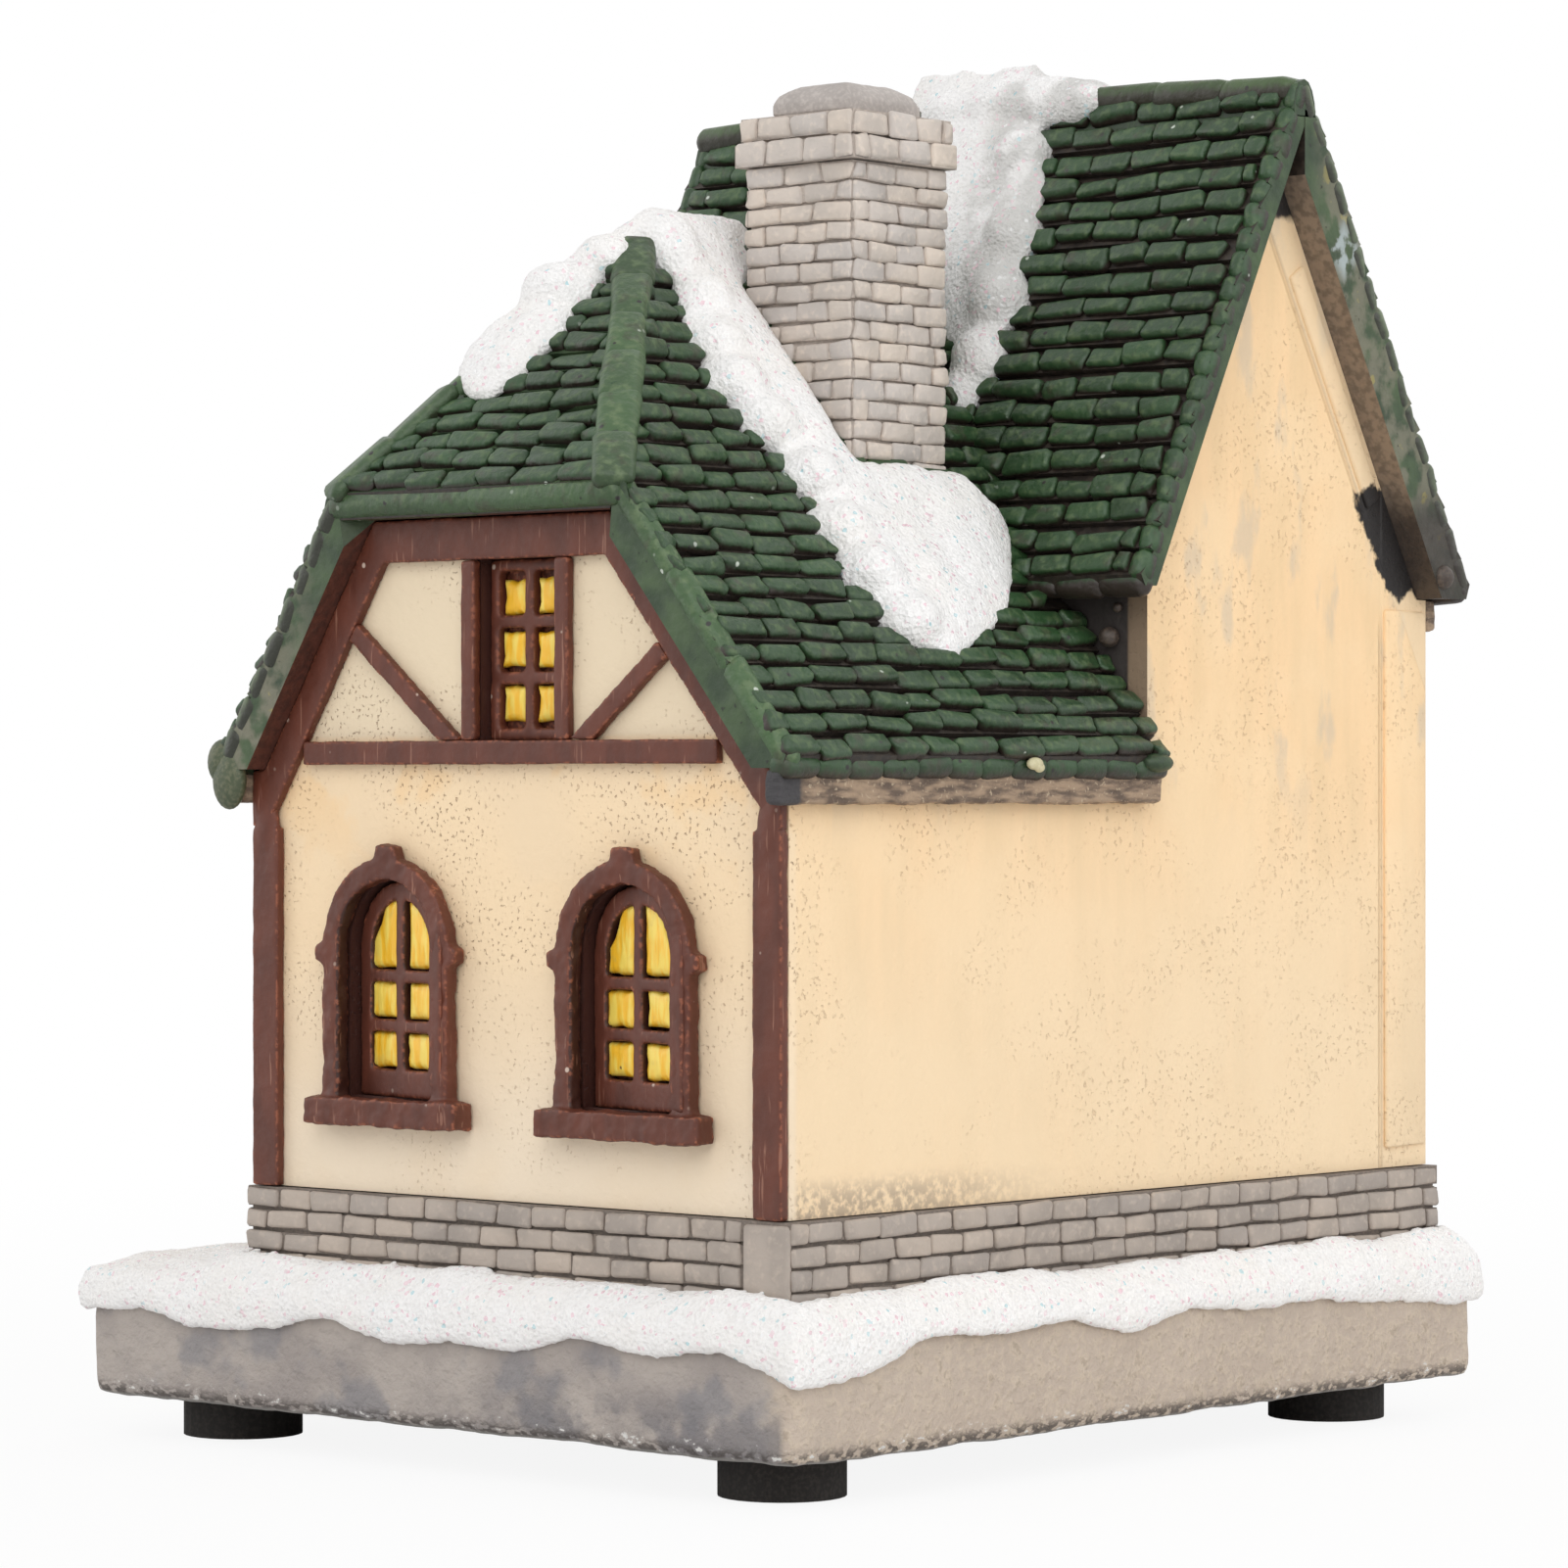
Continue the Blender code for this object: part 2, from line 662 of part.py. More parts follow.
def house_walls():
    foot = plinth_top + SEAM
    above = main_ridge_z + 10
    walls = prism("house_walls", [main_gable(foot)], "x", main_left, wall_right, "stucco")
    cut(
        walls,
        box(
            "main_hollow",
            (main_left + WALL, main_front + WALL, foot - 1),
            (wall_right - WALL, wall_back - WALL, above),
        ),
    )
    wing = prism("wing_shell", [wing_gable(foot)], "y", wall_front, main_front + WALL / 2)
    cut(
        wing,
        box(
            "wing_hollow",
            (wing_left + WALL, wall_front + WALL, foot - 1),
            (wall_right - WALL, main_front + WALL + 1, above),
        ),
    )
    join(walls, wing)
    low = (wing_left + WALL + 1, main_front - 2, foot - 1)
    high = (wall_right - WALL - 1, main_front + WALL + 2, wing_soffit - WALL)
    cut(walls, box("passage", low, high))
    for name, centre in (("left", left_window_x), ("right", right_window_x)):
        opening = shift(arch_loop(ARCH_HALF + SEAM, window_sill(), arch_spring()), centre, 0)
        cut(walls, prism(f"front_opening_{name}", [opening], "y", wall_front - 2, wall_front + WALL + 2))
    attic = rectangle(attic_middle, ATTIC_HALF + SEAM, tie_top(), collar_bottom())
    cut(walls, prism("attic_opening", [attic], "y", wall_front - 2, wall_front + WALL + 2))
    side = shift(arch_loop(ARCH_HALF + SEAM, window_sill(), arch_spring()), wall_front + SIDE_WINDOW_IN, 0)
    cut(walls, prism("side_opening", [side], "x", wing_left - 2, wing_left + WALL + 2))
    door = shift(arch_loop(DOOR_HALF + SEAM, foot - 2, plinth_top + DOOR_SPRING_RISE), main_middle, 0)
    cut(walls, prism("door_opening", [door], "x", main_left - 2, main_left + WALL + 2))
    loft_window = rectangle(main_ridge_y, SIDE_ATTIC_HALF + SEAM, side_attic_low(), side_attic_high())
    cut(walls, prism("side_attic_opening", [loft_window], "x", main_left - 2, main_left + WALL + 2))


# Outlines shared by windows, door and timbers


def window_sill():
    return plinth_top + ARCH_SILL_RISE + ARCH_SILL_HEIGHT


def arch_spring():
    return plinth_top + ARCH_SPRING_RISE


def tie_top():
    return plinth_top + TIE_RISE + TIE_HEIGHT


def collar_bottom():
    return plinth_top + COLLAR_RISE


def side_attic_low():
    return main_soffit + SEAM


def side_attic_high():
    return side_attic_low() + SIDE_ATTIC_HEIGHT


def shift(loop, across, up):
    return [(u + across, v + up) for u, v in loop]


def rectangle(middle, half, low, high):
    return [(middle - half, low), (middle + half, low), (middle + half, high), (middle - half, high)]


def arc(centre, radius, start, end, steps):
    """Points on an arc between two angles in degrees."""
    angles = [math.radians(start + (end - start) * k / steps) for k in range(steps + 1)]
    return [(centre[0] + radius * math.cos(a), centre[1] + radius * math.sin(a)) for a in angles]


def arch_loop(half, low, spring, steps=14):
    """A round-headed outline about zero, from its foot up over the arch."""
    return [(-half, low), (half, low), *arc((0, spring), half, 0, 180, steps)]


def surround_loop(half, low, spring):
    """The outside of a moulded surround: jambs, impost ears and an arched hood with a keystone."""
    outer = half + ARCH_SURROUND
    ear = outer + IMPOST_OUT
    ear_low = spring - IMPOST_HEIGHT
    key = math.degrees(math.asin(KEYSTONE_HALF / outer))
    crown = spring + outer + KEYSTONE_RISE
    return [
        (-outer, low),
        (outer, low),
        (outer, ear_low),
        (ear, ear_low + 0.3),
        (ear, spring),
        *arc((0, spring), outer, 2, 90 - key, 7),
        (KEYSTONE_HALF * 0.85, crown),
        (-KEYSTONE_HALF * 0.85, crown),
        *arc((0, spring), outer, 90 + key, 178, 7),
        (-ear, spring),
        (-ear, ear_low + 0.3),
        (-outer, ear_low),
    ]


def sash_openings(half, low, spring):
    """Two columns of three panes, the top pair with quarter-round heads."""
    inner = half - SASH_RIM
    bar = SASH_BAR / 2
    first = low + SASH_RAIL
    clear = PANE_ROW - SASH_BAR
    loops = []
    for side in (-1, 1):
        for row in (0, 1):
            base = first + row * PANE_ROW
            top = base + clear
            loops.append([(side * bar, base), (side * inner, base), (side * inner, top), (side * bar, top)])
        base = first + 2 * PANE_ROW
        limit = math.degrees(math.acos(bar / inner))
        head = [(side * u, v) for u, v in arc((0, spring), inner, 0, limit, 6)]
        loops.append([(side * bar, base), (side * inner, base), *head])
    return loops


def grid_openings(middle, half, low, high, rim, bar, rows):
    """Two columns of square panes."""
    loops = []
    height = (high - low - 2 * rim - (rows - 1) * bar) / rows
    for side in (-1, 1):
        for row in range(rows):
            base = low + rim + row * (height + bar)
            near = middle + side * bar / 2
            far = middle + side * (half - rim)
            loops.append([(near, base), (far, base), (far, base + height), (near, base + height)])
    return loops


def face_prism(name, loops, wall, near, far, finish=None):
    """A flat piece on a wall, between two depths counted outwards from the wall's face."""
    axis = "y" if wall == "front" else "x"
    face = {"front": wall_front, "wing_side": wing_left, "main_side": main_left}[wall]
    return prism(name, loops, axis, face - far, face - near, finish)


def arched_window(prefix, wall, centre):
    low = window_sill()
    spring = arch_spring()
    surround = [surround_loop(ARCH_HALF, low - SEAM, spring), arch_loop(ARCH_HALF, low, spring)]
    surround = [shift(loop, centre, 0) for loop in surround]
    frame = face_prism(prefix + "_surround", surround, wall, SEAM, SEAM + ARCH_PROUD, "timber")
    sill = rectangle(centre, ARCH_HALF + ARCH_SURROUND + ARCH_SILL_OUT, low - ARCH_SILL_HEIGHT, low)
    join(frame, face_prism(prefix + "_sill_block", [sill], wall, SEAM, SEAM + ARCH_SILL_PROUD))
    half = ARCH_HALF - SEAM
    back = SASH_SET_BACK + SASH_THICKNESS
    sash = [arch_loop(half, low + SEAM, spring), *sash_openings(half, low, spring)]
    sash = [shift(loop, centre, 0) for loop in sash]
    face_prism(prefix + "_sash", sash, wall, -back, -SASH_SET_BACK, "timber")
    glow = shift(arch_loop(half, low + SEAM, spring), centre, 0)
    face_prism(prefix + "_panes", [glow], wall, -back - SEAM - PANE_THICKNESS, -back - SEAM, "pane")


def square_window(prefix, wall, centre, half, low, high):
    back = SASH_SET_BACK + SASH_THICKNESS
    frame = rectangle(centre, half - SEAM, low + SEAM, high - SEAM)
    lights = grid_openings(centre, half, low, high, ATTIC_RIM, SASH_BAR, 3)
    face_prism(prefix + "_sash", [frame, *lights], wall, -back, -SASH_SET_BACK, "timber")
    face_prism(prefix + "_panes", [frame], wall, -back - SEAM - PANE_THICKNESS, -back - SEAM, "pane")


# Timber framing


def bar_loop(start, end, width):
    """A straight bar between two points, as an outline."""
    a = Vector(start)
    b = Vector(end)
    run = (b - a).normalized()
    side = Vector((-run.y, run.x)) * width / 2
    return [tuple(a - side), tuple(b - side), tuple(b + side), tuple(a + side)]


def front_timber(name, *loops):
    return face_prism(name, loops, "front", SEAM, SEAM + TIMBER_PROUD, "timber")


def front_timbers():
    post_top = plinth_top + POST_RISE
    foot = plinth_top + SEAM
    front_timber("corner_post_left", rectangle(wing_left + POST_WIDTH / 2, POST_WIDTH / 2, foot, post_top))
    front_timber("corner_post_right", rectangle(wall_right - POST_WIDTH / 2, POST_WIDTH / 2, foot, post_top))
    rafters = front_timber("gable_rafters", wing_gable(post_top + SEAM))
    inner_left, inner_right = gable_width(collar_bottom(), RAFTER_WIDTH, ridge_x, wing_slopes())
    foot_left, foot_right = gable_width(post_top - 2, RAFTER_WIDTH, ridge_x, wing_slopes())
    field = [(foot_left, post_top - 2), (foot_right, post_top - 2)]
    field += [(inner_right, collar_bottom()), (inner_left, collar_bottom())]
    cut(rafters, face_prism("gable_field", [field], "front", -1, TIMBER_PROUD + 2))
    tie_low = plinth_top + TIE_RISE
    left_end, right_end = gable_width(tie_low + TIE_HEIGHT, RAFTER_WIDTH, ridge_x, wing_slopes())
    beam = rectangle_between(left_end + SEAM, right_end - SEAM, tie_low, tie_low + TIE_HEIGHT)
    front_timber("tie_beam", beam)
    stud_low = tie_top() + SEAM
    stud_high = collar_bottom() - SEAM
    low_left, low_right = gable_width(stud_low, RAFTER_WIDTH + SEAM, ridge_x, wing_slopes())
    high_left, high_right = gable_width(stud_high, RAFTER_WIDTH + SEAM, ridge_x, wing_slopes())
    room = [(low_left, stud_low), (low_right, stud_low), (high_right, stud_high), (high_left, stud_high)]
    attic_room = face_prism("attic_room", [room], "front", -1, TIMBER_PROUD + 2)
    for side, name in ((-1, "left"), (1, "right")):
        middle = attic_middle + side * (ATTIC_HALF + STUD_WIDTH / 2 + SEAM)
        front_timber("attic_stud_" + name, rectangle(middle, STUD_WIDTH / 2, stud_low, stud_high))
        foot_x = attic_middle + side * (ATTIC_HALF + STUD_WIDTH + BRACE_WIDTH)
        run = Vector((side * BRACE_REACH, BRACE_RISE))
        foot = Vector((foot_x, stud_low))
        brace = front_timber("brace_" + name, bar_loop(foot - run * 0.2, foot + run * 1.3, BRACE_WIDTH))
        boolean(brace, attic_room, "INTERSECT")
    square_window("attic_window", "front", attic_middle, ATTIC_HALF, tie_top(), collar_bottom())


def rectangle_between(left, right, low, high):
    return [(left, low), (right, low), (right, high), (left, high)]


def door_side():
    """The side that the photo hides: an arched doorway, a loft window and timbers in the main gable."""
    step_top = slab_top + STEP_HEIGHT
    spring = plinth_top + DOOR_SPRING_RISE
    outer = DOOR_HALF + ARCH_SURROUND
    rim = shift([*arch_loop(outer, step_top + SEAM, spring)], main_middle, 0)
    leaf_space = shift(arch_loop(DOOR_HALF, step_top - 1, spring), main_middle, 0)
    surround = face_prism("door_surround", [rim], "main_side", SEAM, SEAM + ARCH_PROUD, "timber")
    cut(surround, face_prism("door_space", [leaf_space], "main_side", -1, ARCH_PROUD + 2))
    leaf = shift(arch_loop(DOOR_HALF - SEAM, step_top + SEAM, spring), main_middle, 0)
    depth = SASH_SET_BACK + DOOR_THICKNESS
    door = face_prism("door_leaf", [leaf], "main_side", -depth, -SASH_SET_BACK, "timber")
    plank = 2 * DOOR_HALF / DOOR_PLANKS
    for index in range(1, DOOR_PLANKS):
        line = main_middle - DOOR_HALF + index * plank
        groove = rectangle(line, JOINT_HEIGHT / 2, step_top - 1, spring + outer)
        reach = JOINT_DEPTH + SASH_SET_BACK
        cut(door, face_prism(f"door_groove_{index}", [groove], "main_side", -reach, 1))
    step_half = outer - SEAM
    box(
        "door_step",
        (main_left - PLINTH_PROUD, main_middle - step_half, slab_top + SEAM),
        (main_left + WALL, main_middle + step_half, step_top),
        "stone",
    )
    low = side_attic_low()
    high = side_attic_high()
    square_window("side_attic_window", "main_side", main_ridge_y, SIDE_ATTIC_HALF, low, high)
    outside = main_gable(main_soffit - TIE_HEIGHT)
    timbers = face_prism("side_gable_timbers", [outside], "main_side", SEAM, SEAM + TIMBER_PROUD, "timber")
    opening = SIDE_ATTIC_HALF + SEAM
    collar = high + SEAM
    peak = min(line - SEAM - plumb(RAFTER_WIDTH, pitch) for line, pitch in main_slopes()) - TIE_HEIGHT
    for part, bottom, top in (("low", low - SEAM, collar), ("high", collar + TIE_HEIGHT, peak)):
        left, right = gable_width(bottom, RAFTER_WIDTH, main_ridge_y, main_slopes())
        field = [
            (max(left, main_front + RAFTER_WIDTH), bottom),
            (min(right, wall_back - RAFTER_WIDTH), bottom),
        ]
        left, right = gable_width(top, RAFTER_WIDTH, main_ridge_y, main_slopes())
        field += [(right, top), (left, top)]
        hole = face_prism("side_field_" + part, [field], "main_side", -1, TIMBER_PROUD + 2)
        if part == "low":
            for side in (-1, 1):
                middle = main_ridge_y + side * (opening + STUD_WIDTH / 2)
                stud = rectangle(middle, STUD_WIDTH / 2, low - 2, high + 2)
                cut(hole, face_prism(f"side_stud_{side}", [stud], "main_side", -3, TIMBER_PROUD + 4))
        cut(timbers, hole)


# Roofs


def course_profile(eave, ridge, thickness, courses, soffit):
    """A roof slope in section, from the ridge down its stepped tiles to the eave and back up underneath."""
    foot = Vector(eave)
    top = Vector(ridge)
    climb = (top - foot) / courses
    pitch = (top.y - foot.y) / abs(top.x - foot.x)
    inward = 1 if top.x > foot.x else -1
    outward = Vector((-pitch * inward, 1)).normalized()
    points = [tuple(top), tuple(foot + climb * (courses - 1))]
    for index in range(courses - 2, -1, -1):
        points.append(tuple(foot + climb * index + outward * TILE_BUTT))
        if index:
            points.append(tuple(foot + climb * index))
    under_ridge = top.y - plumb(thickness, pitch)
    points.append((foot.x, soffit))
    points.append((top.x - inward * (under_ridge - soffit) / pitch, soffit))
    points.append((top.x, under_ridge))
    return points


def roof_slope(name, axis, profile, low, high, slices, trims):
    """A slope run along its ridge between two planes, then cut where it meets its neighbours."""
    if axis == "y":
        low, high = -high, -low
    bm = outline_bmesh([profile], FRAMES[axis], low, high)
    bmesh.ops.recalc_face_normals(bm, faces=bm.faces)
    for point, normal in slices:
        slice_off(bm, point, normal)
    cut(mesh_object(name, bm, "tile"), *trims)


def main_block_space():
    """Everything the main block fills, with a seam round it, to trim the wing's roof against."""
    eave = front_eave_y - TILE_BUTT - SEAM
    above = plumb(TILE_BUTT + SEAM, front_pitch)
    outline = [
        (main_front - SEAM, 0),
        (wall_back, 0),
        (wall_back, main_ridge_z + above),
        (main_ridge_y, main_ridge_z + above),
        (eave, front_eave_z + above - front_pitch * (front_eave_y - eave)),
        (eave, main_soffit - SEAM),
        (main_front - SEAM, main_soffit - SEAM),
    ]
    return prism("main_block_space", [outline], "x", main_roof_left - 5, main_roof_right + 5)


def ridge_cap(start, end, normals, grow=0):
    """A rounded row of cap tiles bedded astride the line where two slopes meet."""
    run = (end - start).normalized()
    up = (normals[0] + normals[1]).normalized()
    lean = up.dot(normals[0])
    half = CAP_HALF_WIDTH + grow
    foot = CAP_BED - CAP_HALF_WIDTH * math.sqrt(1 - lean * lean) / lean - grow
    crown = CAP_RISE if start.z == end.z else CAP_RISE + TILE_BUTT / lean
    rise = crown + grow - foot
    outline = []
    for step in range(CAP_FACETS + 1):
        angle = math.pi * step / CAP_FACETS
        outline.append((half * math.cos(angle), foot + rise * math.sin(angle)))
    frame = Matrix((run.cross(up), up, -run)).transposed()
    bm = outline_bmesh([outline], frame, -(end - start).length, 0)
    bmesh.ops.translate(bm, verts=bm.verts, vec=start)
    return bm


def cap_lines():
    """Name, ends, neighbouring slopes and end planes of every ridge and hip."""
    joint = Vector((0, SEAM / 2, 0))
    sides = (("right", 1, right_pitch, right_normal), ("left", -1, left_pitch, left_normal))
    for side, way, pitch, normal in sides:
        foot = Vector((ridge_x + way * (wing_ridge_z - hip_eave_z) / pitch, verge_y, hip_eave_z))
        run_on = (apex - foot).normalized() * 2 * CAP_HALF_WIDTH
        middle = Vector((way * SEAM / 2, 0, 0))
        slices = [
            (apex + middle, Vector((-way, 0, 0))),
            (apex - joint, Vector((0, 1, 0))),
            (foot, Vector((0, -1, 0))),
        ]
        yield "hip_cap_" + side, foot - run_on, apex + run_on, (normal, hip_normal), slices
    ridge_end = Vector((ridge_x, main_ridge_y, wing_ridge_z))
    yield "wing_ridge_cap", apex + joint, ridge_end, (left_normal, right_normal), []
    ends = [Vector((x, main_ridge_y, main_ridge_z)) for x in (main_roof_left, main_roof_right)]
    yield "main_ridge_cap", *ends, (front_normal, back_normal), []


def ridge_caps():
    """The caps themselves, and a larger space for each, which beds it in the slopes and under the snow."""
    valley = main_block_space()
    spaces = {}
    for name, start, end, normals, slices in cap_lines():
        bm = ridge_cap(start, end, normals)
        for point, normal in slices:
            slice_off(bm, point, normal)
        cap = mesh_object(name, bm, "tile")
        if name == "wing_ridge_cap":
            cut(cap, valley)
        spaces[name] = mesh_object(name + "_space", ridge_cap(start, end, normals, grow=SEAM))
    return valley, spaces


def wing_roof(valley, spaces):
    clear = SEAM / 2
    hip = course_profile((verge_y, hip_eave_z), (apex.y, apex.z), HIP_THICKNESS, HIP_COURSES, hip_soffit)
    hip_slices = []
    sides = (("right", 1, right_eave_x, right_normal), ("left", -1, left_eave_x, left_normal))
    for side, way, eave_x, normal in sides:
        profile = course_profile(
            (eave_x, wing_eave_z),
            (ridge_x + way * clear, wing_ridge_z),
            WING_THICKNESS,
            WING_COURSES,
            wing_soffit,
        )
        away = (normal - hip_normal).normalized()
        trims = [valley, spaces["wing_ridge_cap"], spaces["hip_cap_" + side]]
        slices = [(apex + away * clear, -away)]
        roof_slope("wing_roof_" + side, "y", profile, verge_y, main_ridge_y, slices, trims)
        hip_slices.append((apex - away * clear, away))
    trims = [spaces["hip_cap_right"], spaces["hip_cap_left"]]
    roof_slope("wing_hip", "x", hip, left_eave_x, right_eave_x, hip_slices, trims)


def main_roof(spaces):
    sides = (
        ("front", -1, front_eave_y, front_eave_z, MAIN_FRONT_THICKNESS),
        ("back", 1, back_eave_y, back_eave_z, MAIN_BACK_THICKNESS),
    )
    for side, way, eave_y, eave_z, thickness in sides:
        ridge = (main_ridge_y + way * SEAM / 2, main_ridge_z)
        profile = course_profile((eave_y, eave_z), ridge, thickness, MAIN_COURSES, main_soffit)
        trims = [spaces["main_ridge_cap"]]
        roof_slope("main_roof_" + side, "x", profile, main_roof_left, main_roof_right, [], trims)


def eave_boards():
    top = wing_soffit - SEAM
    end = main_front - SEAM
    right = wall_right + SEAM
    left = wing_left - SEAM
    low = top - FASCIA_HEIGHT
    box("eave_board_right", (right, verge_y, low), (right + FASCIA_THICKNESS, end, top), "board")
    reach = min(FASCIA_THICKNESS, WING_LEFT_OUT - SEAM)
    box("eave_board_left", (left - reach, verge_y, top - FASCIA_HEIGHT), (left, end, top), "board")
    rear = main_soffit - SEAM
    face = wall_back + SEAM
    low = rear - FASCIA_HEIGHT
    box("eave_board_rear", (main_left, face, low), (wall_right, face + FASCIA_THICKNESS, rear), "board")


# Chimney


def chimney():
    """Brick shaft with a joint line round every course, two corbelled courses and a flue block on top."""
    centre = ((chimney_left + chimney_right) / 2, (chimney_front + chimney_back) / 2)
    profile = [(0, chimney_top), (1, chimney_top)]
    for index in range(1, CHIMNEY_COURSES):
        level = chimney_top - index * CHIMNEY_COURSE
        groove = 1 - 2 * JOINT_DEPTH / CHIMNEY_WIDTH
        half = JOINT_HEIGHT / 2
        profile += [(1, level + half), (groove, level + half * 0.7)]
        profile += [(groove, level - half * 0.7), (1, level - half)]
    foot = chimney_top - CHIMNEY_COURSES * CHIMNEY_COURSE
    profile += [(1, foot), (0, foot)]
    shaft = square_turned("chimney_shaft", profile, centre, CHIMNEY_WIDTH, CHIMNEY_DEPTH, "chimney")
    rise = TILE_BUTT + SEAM
    lift = wing_ridge_z + plumb(rise, right_pitch)
    span = chimney_right + 6
    bed = [
        (ridge_x - 6, foot - 40),
        (span, foot - 40),
        (span, lift - right_pitch * (span - ridge_x)),
        (ridge_x, lift),
        (ridge_x - 6, lift),
    ]
    cut(shaft, prism("chimney_seat", [bed], "y", chimney_front - 5, chimney_back + 5))
    low = chimney_top + SEAM
    corbel = 1 + 2 * CORBEL_PROUD / CHIMNEY_WIDTH
    step = 1 + CORBEL_PROUD / CHIMNEY_WIDTH
    level = low + CORBEL_HEIGHT
    crown_top = level + CORBEL_HEIGHT
    half = JOINT_HEIGHT / 2
    crown = [
        (0, crown_top),
        (step, crown_top),
        (step, level + half),
        (1, level + half * 0.7),
        (1, level - half * 0.7),
        (corbel, level - half),
        (corbel, low),
        (0, low),
    ]
    square_turned("chimney_crown", crown, centre, CHIMNEY_WIDTH, CHIMNEY_DEPTH, "chimney")
    pot_low = crown_top + SEAM
    pot_top = pot_low + POT_HEIGHT
    shoulder = 1 - 2 * POT_CHAMFER / POT_WIDTH
    pot = [
        (0, pot_top),
        (shoulder, pot_top),
        (1 - POT_CHAMFER / POT_WIDTH / 2, pot_top - POT_CHAMFER / 2),
        (1, pot_top - POT_CHAMFER),
        (1, pot_low),
        (0, pot_low),
    ]
    square_turned("chimney_flue", pot, centre, POT_WIDTH, POT_DEPTH, "chimney")


def square_turned(name, profile, centre, width, depth, finish):
    """A profile of (share of the half width, height) turned in four steps, which makes it rectangular."""
    corner = math.sqrt(0.5)
    mesh = bpy.data.meshes.new("profile")
    points = [(share * corner, 0, z) for share, z in profile]
    mesh.from_pydata(points, [(i, i + 1) for i in range(len(points) - 1)], [])
    guide = bpy.data.objects.new("profile", mesh)
    cutters.objects.link(guide)
    screw = guide.modifiers.new("turn", "SCREW")
    screw.steps = 4
    screw.render_steps = 4
    screw.use_merge_vertices = True
    screw.merge_threshold = 1e-5
    graph = bpy.context.evaluated_depsgraph_get()
    made = bpy.data.meshes.new_from_object(guide.evaluated_get(graph))
    bm = bmesh.new()
    bm.from_mesh(made)
    bpy.data.objects.remove(guide, do_unlink=True)
    bmesh.ops.rotate(bm, verts=bm.verts, cent=(0, 0, 0), matrix=Matrix.Rotation(math.pi / 4, 3, "Z"))
    bmesh.ops.scale(bm, verts=bm.verts, vec=(width, depth, 1))
    bmesh.ops.translate(bm, verts=bm.verts, vec=(*centre, 0))
    return mesh_object(name, bm, finish)


# Snow on the roofs

# Edges of the drifts in plan, counted from the hip's apex and from the ridge above the blank side wall
WING_DRIFT = (
    (0.8, 3), (3.6, 0.9), (7.2, -1.7), (9.5, -0.9), (12.4, 0.6), (15, 1.3), (17.6, 1.9), (19.9, 1.6),
    (23.5, 1), (26.4, 0.7), (28, 2), (28.8, 6), (27.5, 10.8), (25.8, 15.9), (23.4, 19.5), (20.3, 23),
    (18.3, 21.9), (16.5, 20.5), (16.2, 8.4), (3.7, 8.4), (2.2, 11.5), (0, 14), (-2.3, 14.5), (-5.3, 11.5),
    (-7.3, 6.5), (-10.3, -0.5), (-12.3, -5.5), (-10.8, -9.5), (-8.3, -12), (-7.3, -12.8), (-4.8, -14),
    (-2.9, -14.1), (-0.8, -12), (0.1, -8.7), (-0.8, -5.8), (-1.8, -4), (-1.5, -2.8), (-0.6, -1.5),
    (0.4, -0.1), (1.1, 1.5),
)
MAIN_DRIFT = (
    (-18, 2.2), (-23.2, 0.7), (-26.5, -1.4), (-21.2, -4.8), (-20.7, -9.1), (-20.4, -10.8), (-21.3, -12.3),
    (-23.3, -12.5), (-26.1, -11.7), (-31.5, -8.4), (-36.5, -3.4), (-41, 0.6), (-41.5, 4.1), (-34.5, 6.6),
    (-26.5, 7.1), (-20.5, 5.6), (-17, 3.1),
)


def crease(place, planes):
    """Height of the lowest of some slopes, its upright share, and the way to where it meets the next."""
    heights = []
    for point, normal in planes:
        fall = Vector((normal.x, normal.y)) / normal.z
        heights.append((point.z - fall.dot(place - point.xy), normal.z, fall))
    heights.sort(key=lambda found: found[0])
    (low, upright, fall), (next_up, _, other_fall) = heights[:2]
    lean = fall - other_fall
    return low, upright, -lean * (next_up - low) / lean.length_squared


def wing_planes():
    return [(apex, normal) for normal in (right_normal, left_normal, hip_normal)]


def main_planes():
    ridge = Vector((0, main_ridge_y, main_ridge_z))
    return [(ridge, normal) for normal in (front_normal, back_normal)]


def bare_roof(place):
    """Height of the slopes here, the upright share of the top one, and the way to its ridge or hip."""
    found = [crease(place, planes) for planes in (wing_planes(), main_planes())]
    return max(found, key=lambda slope: slope[0])


def roof_space(name, planes, lows, highs):
    """Everything under some slopes, up to a seam above their tile butts."""
    bm = box_bmesh(lows, highs)
    for point, normal in planes:
        slice_off(bm, point + normal * (TILE_BUTT + SEAM), normal)
    bmesh.ops.dissolve_limit(bm, angle_limit=0.001, verts=bm.verts, edges=bm.edges)
    return mesh_object(name, bm)


def rim_distance(place, rim):
    best = math.inf
    for a, b in rim:
        near, share = geometry.intersect_point_line(place, a, b)
        near = a if share < 0 else b if share > 1 else near
        best = min(best, (place - Vector(near[:2])).length)
    return best


